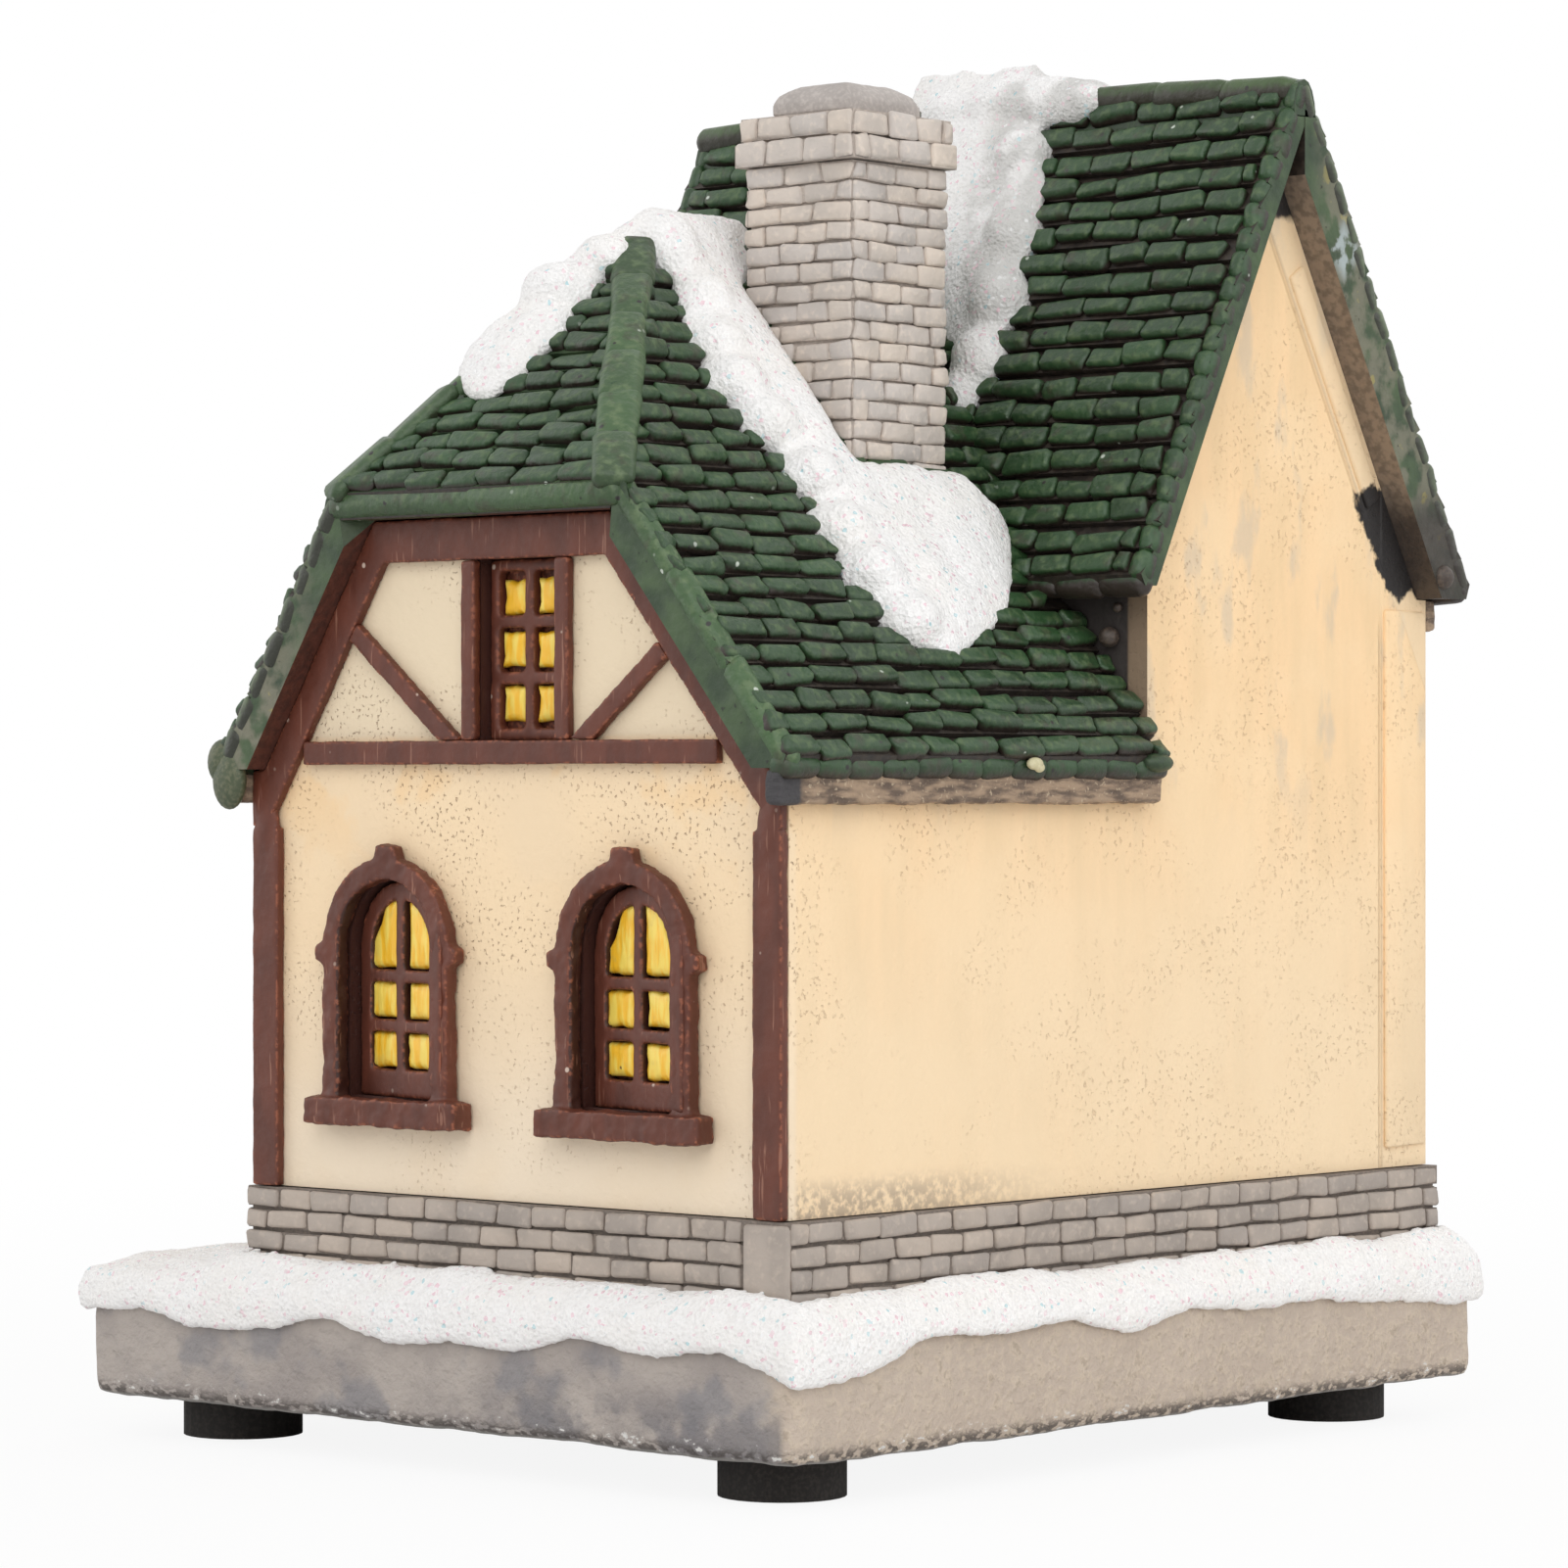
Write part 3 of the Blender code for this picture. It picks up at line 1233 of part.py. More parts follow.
def drift_plan(outline, start):
    """Points inside a drift's outline, in staggered rows, those near a ridge moved onto it, and its edge."""
    edge = []
    for index, corner in enumerate(outline):
        a = start + Vector(corner)
        b = start + Vector(outline[(index + 1) % len(outline)])
        pieces = max(1, round((b - a).length / DRIFT_CELL))
        edge += [a.lerp(b, k / pieces) for k in range(pieces)]
    rim = [(edge[k], edge[(k + 1) % len(edge)]) for k in range(len(edge))]
    low_x, low_y = (min(place[axis] for place in edge) for axis in (0, 1))
    high_x, high_y = (max(place[axis] for place in edge) for axis in (0, 1))
    points = list(edge)
    for row in range(int((high_y - low_y) / (DRIFT_CELL * 0.87)) + 1):
        for column in range(int((high_x - low_x) / DRIFT_CELL) + 2):
            place = Vector((low_x + (column - (row % 2) / 2) * DRIFT_CELL, low_y + row * DRIFT_CELL * 0.87))
            way = bare_roof(place)[2]
            if way.length < DRIFT_CELL / 2:
                place += way
            if min((place - other).length for other in points) > DRIFT_CELL * 0.4:
                points.append(place)
    flat, _, faces, *_ = geometry.delaunay_2d_cdt(points, [], [list(range(len(edge)))], 1, 1e-4)
    return flat, faces, rim


def drift(name, outline, start, cutters_below):
    """A blanket of snow: a triangulated plan lifted over the roof, then trimmed against what it lies on."""
    flat, faces, rim = drift_plan(outline, start)
    bm = bmesh.new()
    tops = []
    bottoms = []
    for place in flat:
        share = min(rim_distance(place, rim) / DRIFT_ROLL, 1)
        thickness = DRIFT_EDGE + (DRIFT_THICKNESS - DRIFT_EDGE) * math.sqrt(1 - (1 - share) ** 2)
        thickness *= 1 + 0.25 * share * noise.noise(Vector((place.x * 0.35, place.y * 0.35, 1.7)))
        roof, upright, way = bare_roof(place)
        crest = math.exp(-((way.length / CAP_HALF_WIDTH) ** 2) / 2)
        top = roof + TILE_BUTT + thickness / upright + crest * (CAP_RISE - DRIFT_ROUND * share)
        tops.append(bm.verts.new((place.x, place.y, top)))
        bottoms.append(bm.verts.new((place.x, place.y, roof - 4)))
    for face in faces:
        bm.faces.new([tops[k] for k in face])
        bm.faces.new([bottoms[k] for k in reversed(face)])
    below = dict(zip(tops, bottoms))
    for side in [side for side in bm.edges if side.is_boundary and side.verts[0] in below]:
        a, b = side.verts
        bm.faces.new((a, b, below[b], below[a]))
    snow = mesh_object(name, bm, "snow")
    snow.data.shade_smooth()
    cut(snow, *cutters_below)


def roof_snow(spaces):
    wing_space = roof_space(
        "wing_roof_space",
        wing_planes(),
        (left_eave_x, verge_y, plinth_top),
        (right_eave_x, main_ridge_y - CAP_HALF_WIDTH, main_ridge_z),
    )
    main_space = roof_space(
        "main_roof_space",
        main_planes(),
        (main_roof_left - 1, front_eave_y, plinth_top),
        (main_roof_right + 1, back_eave_y, main_ridge_z + 9),
    )
    shaft = box(
        "chimney_space",
        (chimney_left - GAP, chimney_front - GAP, plinth_top),
        (chimney_right + GAP, chimney_back + GAP, main_ridge_z),
    )
    caps = [spaces[name] for name in ("wing_ridge_cap", "hip_cap_left", "hip_cap_right")]
    drift("wing_snow", WING_DRIFT, apex.xy, [wing_space, main_space, shaft, *caps])
    main_caps = [spaces[name] for name in ("wing_ridge_cap", "main_ridge_cap")]
    corner = Vector((wall_right, main_ridge_y))
    drift("main_roof_snow", MAIN_DRIFT, corner, [wing_space, main_space, *main_caps])


# Light unit


def unit_box(name, lows, highs, finish=None):
    """A box placed from the unit's own centre."""
    return box(name, (lows[0] + UNIT_X, lows[1], lows[2]), (highs[0] + UNIT_X, highs[1], highs[2]), finish)


def light_housing():
    half_length = UNIT_LENGTH / 2
    half_width = UNIT_WIDTH / 2
    housing = unit_box(
        "light_housing",
        (-half_length, -half_width, slab_bottom),
        (half_length, half_width, unit_top),
        "black_plastic",
    )
    join(
        housing,
        unit_box(
            "unit_flange",
            (-half_length - FLANGE, -half_width - FLANGE, slab_bottom),
            (half_length + FLANGE, half_width + FLANGE, slab_bottom + FLANGE_THICKNESS),
        ),
    )
    below = slab_bottom - 1
    tab_half = TAB_WIDTH / 2 + GAP
    slider_half = SLIDER_LENGTH / 2 + GAP
    knob_half = KNOB_LENGTH / 2 + GAP
    cut(
        housing,
        unit_box(
            "door_recess",
            (door_left - GAP, -DOOR_WIDTH / 2 - GAP, below),
            (door_right + GAP, DOOR_WIDTH / 2 + GAP, recess_top),
        ),
        cylinder("cell_pocket", (cell_x + UNIT_X, 0), CELL_RADIUS + GAP, door_top, ceiling_low, sides=48),
        unit_box(
            "tab_slot",
            (door_left - TAB_REACH - 0.5, -tab_half, slab_bottom + LIP),
            (door_left + TAB_REACH + 0.7, tab_half, slab_bottom + LIP + 2.6),
        ),
        unit_box(
            "contact_slot",
            (cell_x + CELL_RADIUS - 1, -CONTACT_WIDTH / 2 - GAP, door_top),
            (cell_x + CELL_RADIUS + 1.2, CONTACT_WIDTH / 2 + GAP, ceiling_low),
        ),
        unit_box(
            "slider_bay",
            (switch_x - slider_half, -SLIDER_WIDTH / 2 - GAP, slab_bottom + LIP),
            (switch_x + SWITCH_TRAVEL + slider_half, SLIDER_WIDTH / 2 + GAP, slider_high + GAP),
        ),
        unit_box(
            "knob_slot",
            (switch_x - knob_half, -KNOB_WIDTH / 2 - GAP, below),
            (switch_x + SWITCH_TRAVEL + knob_half, KNOB_WIDTH / 2 + GAP, slab_bottom + LIP + 0.5),
        ),
        unit_box(
            "board_tray",
            (-half_length + UNIT_WALL, -half_width + UNIT_WALL, tray_floor),
            (half_length - UNIT_WALL, half_width - UNIT_WALL, unit_top + 1),
        ),
        cylinder("screw_pilot", screw_place, SCREW_RADIUS + GAP, door_top, ceiling_low, sides=20),
    )


def battery_door():
    """Plate with a hook at one end, which hinges on the housing's lip, and a screw hole at the other."""
    hinge = (door_left - SEAM + UNIT_X, 0, slab_bottom)
    low = (door_left + UNIT_X, -DOOR_WIDTH / 2, slab_bottom)
    high = (door_right + UNIT_X, DOOR_WIDTH / 2, door_top)
    door = box("battery_door", low, high, "black_plastic", hinge)
    tab_low = slab_bottom + LIP + GAP
    join(
        door,
        unit_box(
            "door_tab",
            (door_left - TAB_REACH, -TAB_WIDTH / 2, tab_low),
            (door_left + 1.2, TAB_WIDTH / 2, tab_low + TAB_THICKNESS),
        ),
    )
    head_top = slab_bottom + SCREW_HEAD_IN + SCREW_HEAD
    cut(
        door,
        cylinder("screw_seat", screw_place, SCREW_HEAD_RADIUS + GAP, slab_bottom - 1, head_top + SEAM, sides=24),
        cylinder("screw_hole", screw_place, SCREW_RADIUS + GAP, slab_bottom, door_top + 1, sides=20),
    )


def door_screw():
    low = slab_bottom + SCREW_HEAD_IN
    under_head = low + SCREW_HEAD
    tip = door_top + SCREW_REACH
    profile = [
        (0, tip),
        (SCREW_RADIUS * 0.7, tip),
        (SCREW_RADIUS, tip - 0.4),
        (SCREW_RADIUS, under_head),
        (SCREW_HEAD_RADIUS, under_head),
        (SCREW_HEAD_RADIUS, low + 0.2),
        (SCREW_HEAD_RADIUS - 0.3, low),
        (0, low),
    ]
    screw = turned("door_screw", profile, screw_place, "steel", steps=24)
    for name, (across, along_y) in {"slot_a": (1.1, 0.2), "slot_b": (0.2, 1.1)}.items():
        lows = (screw_x - across, screw_y - along_y, low - 1)
        highs = (screw_x + across, screw_y + along_y, low + 0.45)
        cut(screw, unit_box(name, lows, highs))


def cell_and_contacts():
    cell = [
        (0, cell_high),
        (CELL_RADIUS * 0.84, cell_high),
        (CELL_RADIUS * 0.86, cell_high - 0.2),
        (CELL_RADIUS - 0.3, cell_high - 0.25),
        (CELL_RADIUS, cell_high - 0.6),
        (CELL_RADIUS, cell_low + 0.2),
        (CELL_RADIUS - 0.2, cell_low),
        (0, cell_low),
    ]
    turned("coin_cell", cell, (cell_x + UNIT_X, 0), "steel", steps=40)
    high = ceiling_low - SEAM
    touch = cell_high + SEAM
    start = cell_x + UNIT_X - 5
    spring = [
        (start, high),
        (start, high - CONTACT),
        (start + 3.5, high - CONTACT),
        (start + 5.5, touch),
        (start + 8, touch),
        (start + 8, touch + CONTACT), (start + 5.5, touch + CONTACT), (start + 3.5, high),
    ]
    prism("contact_negative", [spring[::-1]], "y", -CONTACT_WIDTH / 2, CONTACT_WIDTH / 2, "steel")
    rim_x = cell_x + CELL_RADIUS + 2 * CONTACT
    unit_box(
        "contact_positive",
        (rim_x, -CONTACT_WIDTH / 2, cell_low),
        (rim_x + CONTACT, CONTACT_WIDTH / 2, high),
        "steel",
    )


def board_and_led():
    low = tray_floor + SEAM
    half_length = BOARD_LENGTH / 2
    half_width = BOARD_WIDTH / 2
    unit_box(
        "circuit_board",
        (-half_length, -half_width, low),
        (half_length, half_width, low + BOARD_THICKNESS),
        "board_green",
    )
    foot = low + BOARD_THICKNESS + SEAM
    top = foot + LED_HEIGHT
    dome = arc((0, top - LED_RADIUS), LED_RADIUS, 90, 0, 4)
    rim = LED_RADIUS + 0.3
    profile = [(0, top), *dome[1:], (LED_RADIUS, foot + 1), (rim, foot + 1), (rim, foot), (0, foot)]
    turned("led", profile, (UNIT_X, 0), "led_lens", steps=20)


def switch_slider():
    slider = box(
        "switch_slider",
        (switch_x - SLIDER_LENGTH / 2 + UNIT_X, -SLIDER_WIDTH / 2, slider_low),
        (switch_x + SLIDER_LENGTH / 2 + UNIT_X, SLIDER_WIDTH / 2, slider_high),
        "black_plastic",
        (switch_x + UNIT_X, 0, slider_low),
    )
    join(
        slider,
        unit_box(
            "slider_knob",
            (switch_x - KNOB_LENGTH / 2, -KNOB_WIDTH / 2, slab_bottom - KNOB_DROP),
            (switch_x + KNOB_LENGTH / 2, KNOB_WIDTH / 2, slider_low + SLIDER_THICKNESS / 2),
        ),
    )


clear_scene()
make_finishes()
base_slab()
foam_feet()
base_snow()
brick_plinth()
house_walls()
arched_window("front_window_left", "front", left_window_x)
arched_window("front_window_right", "front", right_window_x)
arched_window("side_window", "wing_side", wall_front + SIDE_WINDOW_IN)
front_timbers()
valley, cap_spaces = ridge_caps()
wing_roof(valley, cap_spaces)
main_roof(cap_spaces)
eave_boards()
chimney()
roof_snow(cap_spaces)
door_side()
light_housing()
battery_door()
door_screw()
cell_and_contacts()
board_and_led()
switch_slider()
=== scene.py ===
import math
import random

import bmesh
import bpy
from mathutils import Matrix, Vector, noise


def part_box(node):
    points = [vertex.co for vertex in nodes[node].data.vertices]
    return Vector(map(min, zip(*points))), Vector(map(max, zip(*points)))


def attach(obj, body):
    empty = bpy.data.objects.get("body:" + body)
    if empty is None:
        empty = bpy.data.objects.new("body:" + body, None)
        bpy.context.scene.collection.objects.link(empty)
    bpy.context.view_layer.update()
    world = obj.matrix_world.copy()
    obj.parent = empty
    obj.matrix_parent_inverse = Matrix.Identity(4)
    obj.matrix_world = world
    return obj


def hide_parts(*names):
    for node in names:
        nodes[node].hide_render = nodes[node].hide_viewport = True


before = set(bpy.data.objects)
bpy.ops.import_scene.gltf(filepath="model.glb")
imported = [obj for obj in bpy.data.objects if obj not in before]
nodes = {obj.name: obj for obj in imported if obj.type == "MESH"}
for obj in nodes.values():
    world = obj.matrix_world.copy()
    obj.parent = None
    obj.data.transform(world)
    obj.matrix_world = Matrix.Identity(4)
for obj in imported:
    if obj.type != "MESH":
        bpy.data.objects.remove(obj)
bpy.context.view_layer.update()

# Left unseeded, noise_vector takes its seed from the clock, and the waves differ from run to run
noise.seed_set(1)

# Sizes are in millimetres until they reach a mesh
MM = 0.001
ON_HOUSE = "house"
UPRIGHT = Vector((0, 0, 1))

# Middle of the two front windows and how far each is from it, and the attic window's middle, along X
FRONT_WINDOWS = (7.4, 13.05)
ATTIC_WINDOW = 8.3
# Middles of the left side's window and door along Y, and of its attic window along Y and Z
SIDE_WINDOW = -19.5
SIDE_DOOR = 22.0
SIDE_ATTIC = (20.4, 76.45)
# Where the windows' arches and the door's arch begin
ARCH_SPRING = 41.6
DOOR_SPRING = 30.6
# Along the rear verge, the height and this many times Y add up to this
VERGE_SLANT, REAR_VERGE = 1.72, 138.3


def linear(red, green, blue):
    """An sRGB colour of 0 to 255 as the shader takes it."""
    shares = [channel / 255 for channel in (red, green, blue)]
    return (*[share / 12.92 if share <= 0.04045 else ((share + 0.055) / 1.055) ** 2.4 for share in shares], 1)


def scaled(colour, share):
    return [channel * share for channel in colour]


# Shader maths


class Signal:
    """A socket of a node tree. Arithmetic on it adds the Math nodes that work it out."""

    def __init__(self, maker, socket):
        self.maker = maker
        self.socket = socket

    def maths(self, operation, first, second):
        return self.maker.node("Math", {"operation": operation}, {0: first, 1: second})

    def __add__(self, other):
        return self.maths("ADD", self, other)

    def __sub__(self, other):
        return self.maths("SUBTRACT", self, other)

    def __rsub__(self, other):
        return self.maths("SUBTRACT", other, self)

    def __mul__(self, other):
        return self.maths("MULTIPLY", self, other)

    def __pow__(self, other):
        return self.maths("POWER", self, other)

    __radd__ = __add__
    __rmul__ = __mul__

    def size(self):
        return self.maths("ABSOLUTE", self, 0)

    def larger(self, other):
        return self.maths("MAXIMUM", self, other)

    def rise(self, low, high):
        """0 below one value and 1 above the other, with a soft step between. Given high first, it falls."""
        if low > high:
            return 1 - self.rise(high, low)
        limits = {"Value": self, "From Min": low, "From Max": high}
        return self.maker.node("MapRange", {"interpolation_type": "SMOOTHSTEP"}, limits)


class Nodes:
    """A node tree in the making."""

    def __init__(self, tree):
        self.tree = tree

    def feed(self, socket, value):
        """Links a signal to a socket, or sets the socket's own value."""
        if isinstance(value, Signal):
            self.tree.links.new(value.socket, socket)
        else:
            socket.default_value = value

    def node(self, kind, settings=None, sockets=None, out=0):
        made = self.tree.nodes.new("ShaderNode" + kind)
        for name, value in (settings or {}).items():
            setattr(made, name, value)
        for key, value in (sockets or {}).items():
            self.feed(made.inputs[key], value)
        return Signal(self, made.outputs[out])


class Finish(Nodes):
    """A material in the making. Places are in millimetres, and plain colours are sRGB of 0 to 255."""

    def __init__(self, name, metallic=0.0, coat=0.0):
        self.material = bpy.data.materials.new(name)
        self.material.use_nodes = True
        super().__init__(self.material.node_tree)
        self.shader = self.tree.nodes["Principled BSDF"]
        for socket, value in (("Metallic", metallic), ("Coat Weight", coat), ("Coat Roughness", 0.25)):
            self.feed(self.shader.inputs[socket], value)
        here = self.node("TexCoord", out="Object")
        self.place = self.node("VectorMath", {"operation": "SCALE"}, {0: here, "Scale": 1000})
        self.x, self.y, self.z = (self.node("SeparateXYZ", {}, {0: self.place}, axis) for axis in "XYZ")

    def moved(self, stretch, shift):
        settings = {"operation": "MULTIPLY_ADD"}
        return self.node("VectorMath", settings, {0: self.place, 1: stretch, 2: (shift, shift, shift)})

    def noise(self, size, detail=2, stretch=(1, 1, 1), shift=0.0, rough=0.5):
        """Smooth noise about 0.5, whose lumps have this size, drawn out along an axis by a share under 1."""
        where = self.moved(stretch, shift)
        sockets = {"Vector": where, "Scale": 1 / size, "Detail": detail, "Roughness": rough}
        return self.node("TexNoise", {}, sockets)

    def cells(self, size, out="Distance", shift=0.0):
        return self.node("TexVoronoi", {}, {"Vector": self.moved((1, 1, 1), shift), "Scale": 1 / size}, out)

    def channels(self, colour):
        """The red, green and blue of a colour's signal."""
        return [self.node("SeparateColor", {}, {0: colour}, channel) for channel in ("Red", "Green", "Blue")]

    def specks(self, size, share, shift=0.0, reach=0.35):
        """Round specks in some cells of a grid."""
        chance = self.channels(self.cells(size, "Color", shift))[0]
        picked = chance.rise(1 - share, 1 - share + 0.01)
        return picked * self.cells(size, "Distance", shift).rise(reach, reach * 0.6)

    def attribute(self, name):
        return self.node("Attribute", {"attribute_name": name}, {}, "Fac")

    def facing(self, axis):
        """How far the surface faces along an axis, from -1 to 1."""
        outward = self.node("NewGeometry", out="Normal")
        return self.node("SeparateXYZ", {}, {0: outward}, axis)

    def facing_down(self, low, high):
        return (self.facing("Z") * -1).rise(low, high)

    def sharpness(self):
        """How far an edge stands out: 0.5 on a flat face, more on an edge and less in a corner."""
        return self.node("NewGeometry", out="Pointiness")

    def from_arch(self, across, spring):
        """How far a place is from the upright middle of an arched opening, or from the arch's centre."""
        above = (self.z - spring).larger(0)
        return (across * across + above * above) ** 0.5

    def from_window(self):
        """The same for the nearer of the two arched windows on the front."""
        middle, half = FRONT_WINDOWS
        return self.from_arch((self.x - middle).size() - half, ARCH_SPRING)

    def near(self, along, middle, half):
        """1 where a place lies less than this far from the middle, and 0 outside."""
        return (along - middle).size().rise(half + 0.1, half)

    def mix(self, mask, under, over):
        under, over = (tone if isinstance(tone, Signal) else linear(*tone) for tone in (under, over))
        return self.node("Mix", {"data_type": "RGBA"}, {0: mask, 6: under, 7: over}, 2)

    def base(self, mask, under, over):
        """The colour that the next ones are laid on."""
        self.colour = self.mix(mask, under, over)

    def lay(self, mask, over):
        self.colour = self.mix(mask, self.colour, over)

    def done(self, roughness, height, depth):
        """Joins up the shader, with bumps of this depth in millimetres where the height goes from 0 to 1."""
        bump = self.node("Bump", {}, {"Height": height, "Distance": depth * MM, "Strength": 1})
        for name, signal in (("Base Color", self.colour), ("Roughness", roughness), ("Normal", bump)):
            self.feed(self.shader.inputs[name], signal)
        return self


# Finishes


def snow_finish():
    """Snow paste: fine white grains with a little pink, white and turquoise glitter."""
    paint = Finish("snow_paste")
    pick, hue, bright = paint.channels(paint.cells(0.3, "Color"))
    flake = pick.rise(0.90, 0.905)
    grain = paint.noise(0.26, 3)
    soft = paint.noise(5, 2, shift=3.0)
    paint.base(grain.rise(0.3, 0.62), (246, 244, 243), (255, 254, 253))
    paint.lay(soft.rise(0.35, 0.7) * 0.3, (250, 245, 238))
    # Painted shade: greyer on the main roof's drift
    above = paint.y.rise(4, 9) * paint.z.rise(90, 96) * paint.x.rise(6, 10) * soft.rise(0.4, 0.6)
    paint.lay(above * 0.5, (176, 176, 172))
    tint = paint.mix(hue.rise(0.45, 0.5), (246, 206, 218), (255, 255, 255))
    tint = paint.mix(hue.rise(0.86, 0.88), tint, (176, 222, 230))
    paint.lay(flake * (0.3 + 0.5 * bright), tint)
    return paint.done(0.85 - flake * 0.6, paint.cells(0.42) * 0.7 + grain, depth=0.18)


def tile_finish(name, dark, body, light, worn):
    """Green enamel over cast tiles, with painted shade in the laps and lighter crowns, partly dry-brushed and
    partly painted highlight.
    """
    paint = Finish(name)
    crown = paint.attribute("crown")
    shade = paint.attribute("shade")
    broad = paint.noise(7, 3)
    fine = paint.noise(0.8, 4, shift=9.0)
    lap = (crown + (fine - 0.5) * 0.5).rise(0.25, 0.75)
    stained = paint.noise(1.9, 3, shift=27.0).rise(0.56, 0.7)
    paint.base(shade, body, scaled(body, 1.2))
    paint.lay(broad.rise(0.4, 0.7) * 0.5, scaled(body, 0.74))
    paint.lay(stained * 0.55, (56, 50, 38))
    # Painted shade: dark in the laps and down each tile's sides towards its foot
    paint.base(lap, dark, paint.colour)
    # Lighter on the crowns: partly dry-brushed paint and partly painted highlight
    paint.lay(crown.rise(0.6, 1.0) * fine.rise(0.45, 0.72) * worn, light)
    paint.lay(paint.specks(0.7, 0.012, 4.0), (196, 204, 192))
    paint.lay(paint.specks(0.9, 0.05, 8.0, reach=0.3), (30, 27, 24))
    # Darker near the right end of the rear eave
    dark_rear_corner = paint.y.rise(34, 38) * paint.z.rise(80, 75) * paint.x.rise(33, 35)
    paint.lay(dark_rear_corner * 0.8, (46, 38, 34))
    return paint.done(0.3 + fine * 0.3, fine + paint.noise(2.2, 2, shift=2.0), depth=0.16)


def roof_finish(name, along, inward, soffit):
    """The slopes between the tiles: painted shade in the laps, green at the verges, brown or taupe
    underneath.
    """
    paint = Finish(name)
    broad = paint.noise(3.2, 4)
    fine = paint.noise(0.7, 3, shift=5.0)
    stain = paint.noise(2.4, 4, shift=11.0)
    paint.base(broad.rise(0.35, 0.7), (42, 60, 38), (68, 88, 56))
    weathered = (paint.x.rise(-10, -18) * 0.95).larger(paint.y.rise(21, 25) * 0.85)
    paint.lay(weathered * stain.rise(0.38, 0.56), (118, 116, 98))
    paint.lay(weathered * stain.rise(0.62, 0.66), (150, 140, 84))
    paint.lay(fine.rise(0.66, 0.74) * 0.8, (28, 26, 24))
    # Painted shade: dark wherever the slope doesn't face along its ridge, which shows in the gaps between the
    # tiles
    lap = paint.mix(fine.rise(0.35, 0.65), (36, 30, 26), (54, 46, 38))
    paint.base(paint.facing(along).size().rise(0.5, 0.7), lap, paint.colour)
    # A pale smear high on the rear verge
    from_smear = (paint.y - 26).size() + (paint.z - 99.5).size()
    smear = paint.x.rise(34, 36) * from_smear.rise(3.4, 1.2) * stain.rise(0.42, 0.5)
    paint.lay(smear * 0.8, (176, 188, 190))
    axis, sign = inward
    underneath = (paint.facing(axis) * sign).rise(0.05, 0.2) * paint.facing_down(0.1, 0.2)
    under = paint.mix(fine.rise(0.4, 0.65), soffit, scaled(soffit, 0.8))
    paint.lay(underneath.larger(paint.facing_down(0.95, 0.98)), under)
    # Darker near the right end of the rear eave
    dark_rear_corner = paint.y.rise(34, 37) * paint.z.rise(81, 77) * paint.x.rise(33, 35)
    paint.lay(dark_rear_corner * 0.85, (44, 36, 33))
    return paint.done(0.4 + fine * 0.3, broad + fine * 0.4, depth=0.2)


def timber_finish():
    """Brown paint on cast timbers, rubbed to a pinkish grey along the edges, with pale nicks, painted shade
    in the hollows, and jambs darkened with dark paint and painted shade.
    """
    paint = Finish("timber_brown")
    edge = paint.sharpness()
    streak = paint.noise(2.2, 2, stretch=(1, 1, 0.4))
    fine = paint.noise(0.5, 3, shift=8.0)
    paint.base(streak.rise(0.3, 0.7), (86, 42, 28), (102, 52, 36))
    # Painted shade: darker in the hollows and inside corners
    paint.lay(edge.rise(0.48, 0.42), (48, 22, 16))
    # The window jambs' inner sides, facing +X, darker: partly dark paint and partly painted shade
    jamb_paint_and_shade = paint.from_window().rise(6.0, 5.7) * paint.facing("X").rise(0.35, 0.6) * paint.y.rise(-37, -39)
    paint.lay(jamb_paint_and_shade * 0.75, (38, 18, 14))
    scratch = paint.noise(0.4, 2, stretch=(1, 1, 0.07), shift=17.0).rise(0.64, 0.69) * streak.rise(0.45, 0.6)
    paint.lay(scratch * 0.45, (176, 128, 106))
    paint.lay(edge.rise(0.512, 0.56) * fine.rise(0.46, 0.62) * 0.8, (166, 98, 70))
    scuffed = paint.specks(1.3, 0.04, 2.0, reach=0.2) + paint.specks(0.6, 0.012, 6.0) * edge.rise(0.5, 0.54)
    paint.lay(scuffed, (206, 184, 168))
    return paint.done(0.42 + fine * 0.25, streak * 0.6 + fine * 0.4, depth=0.08)


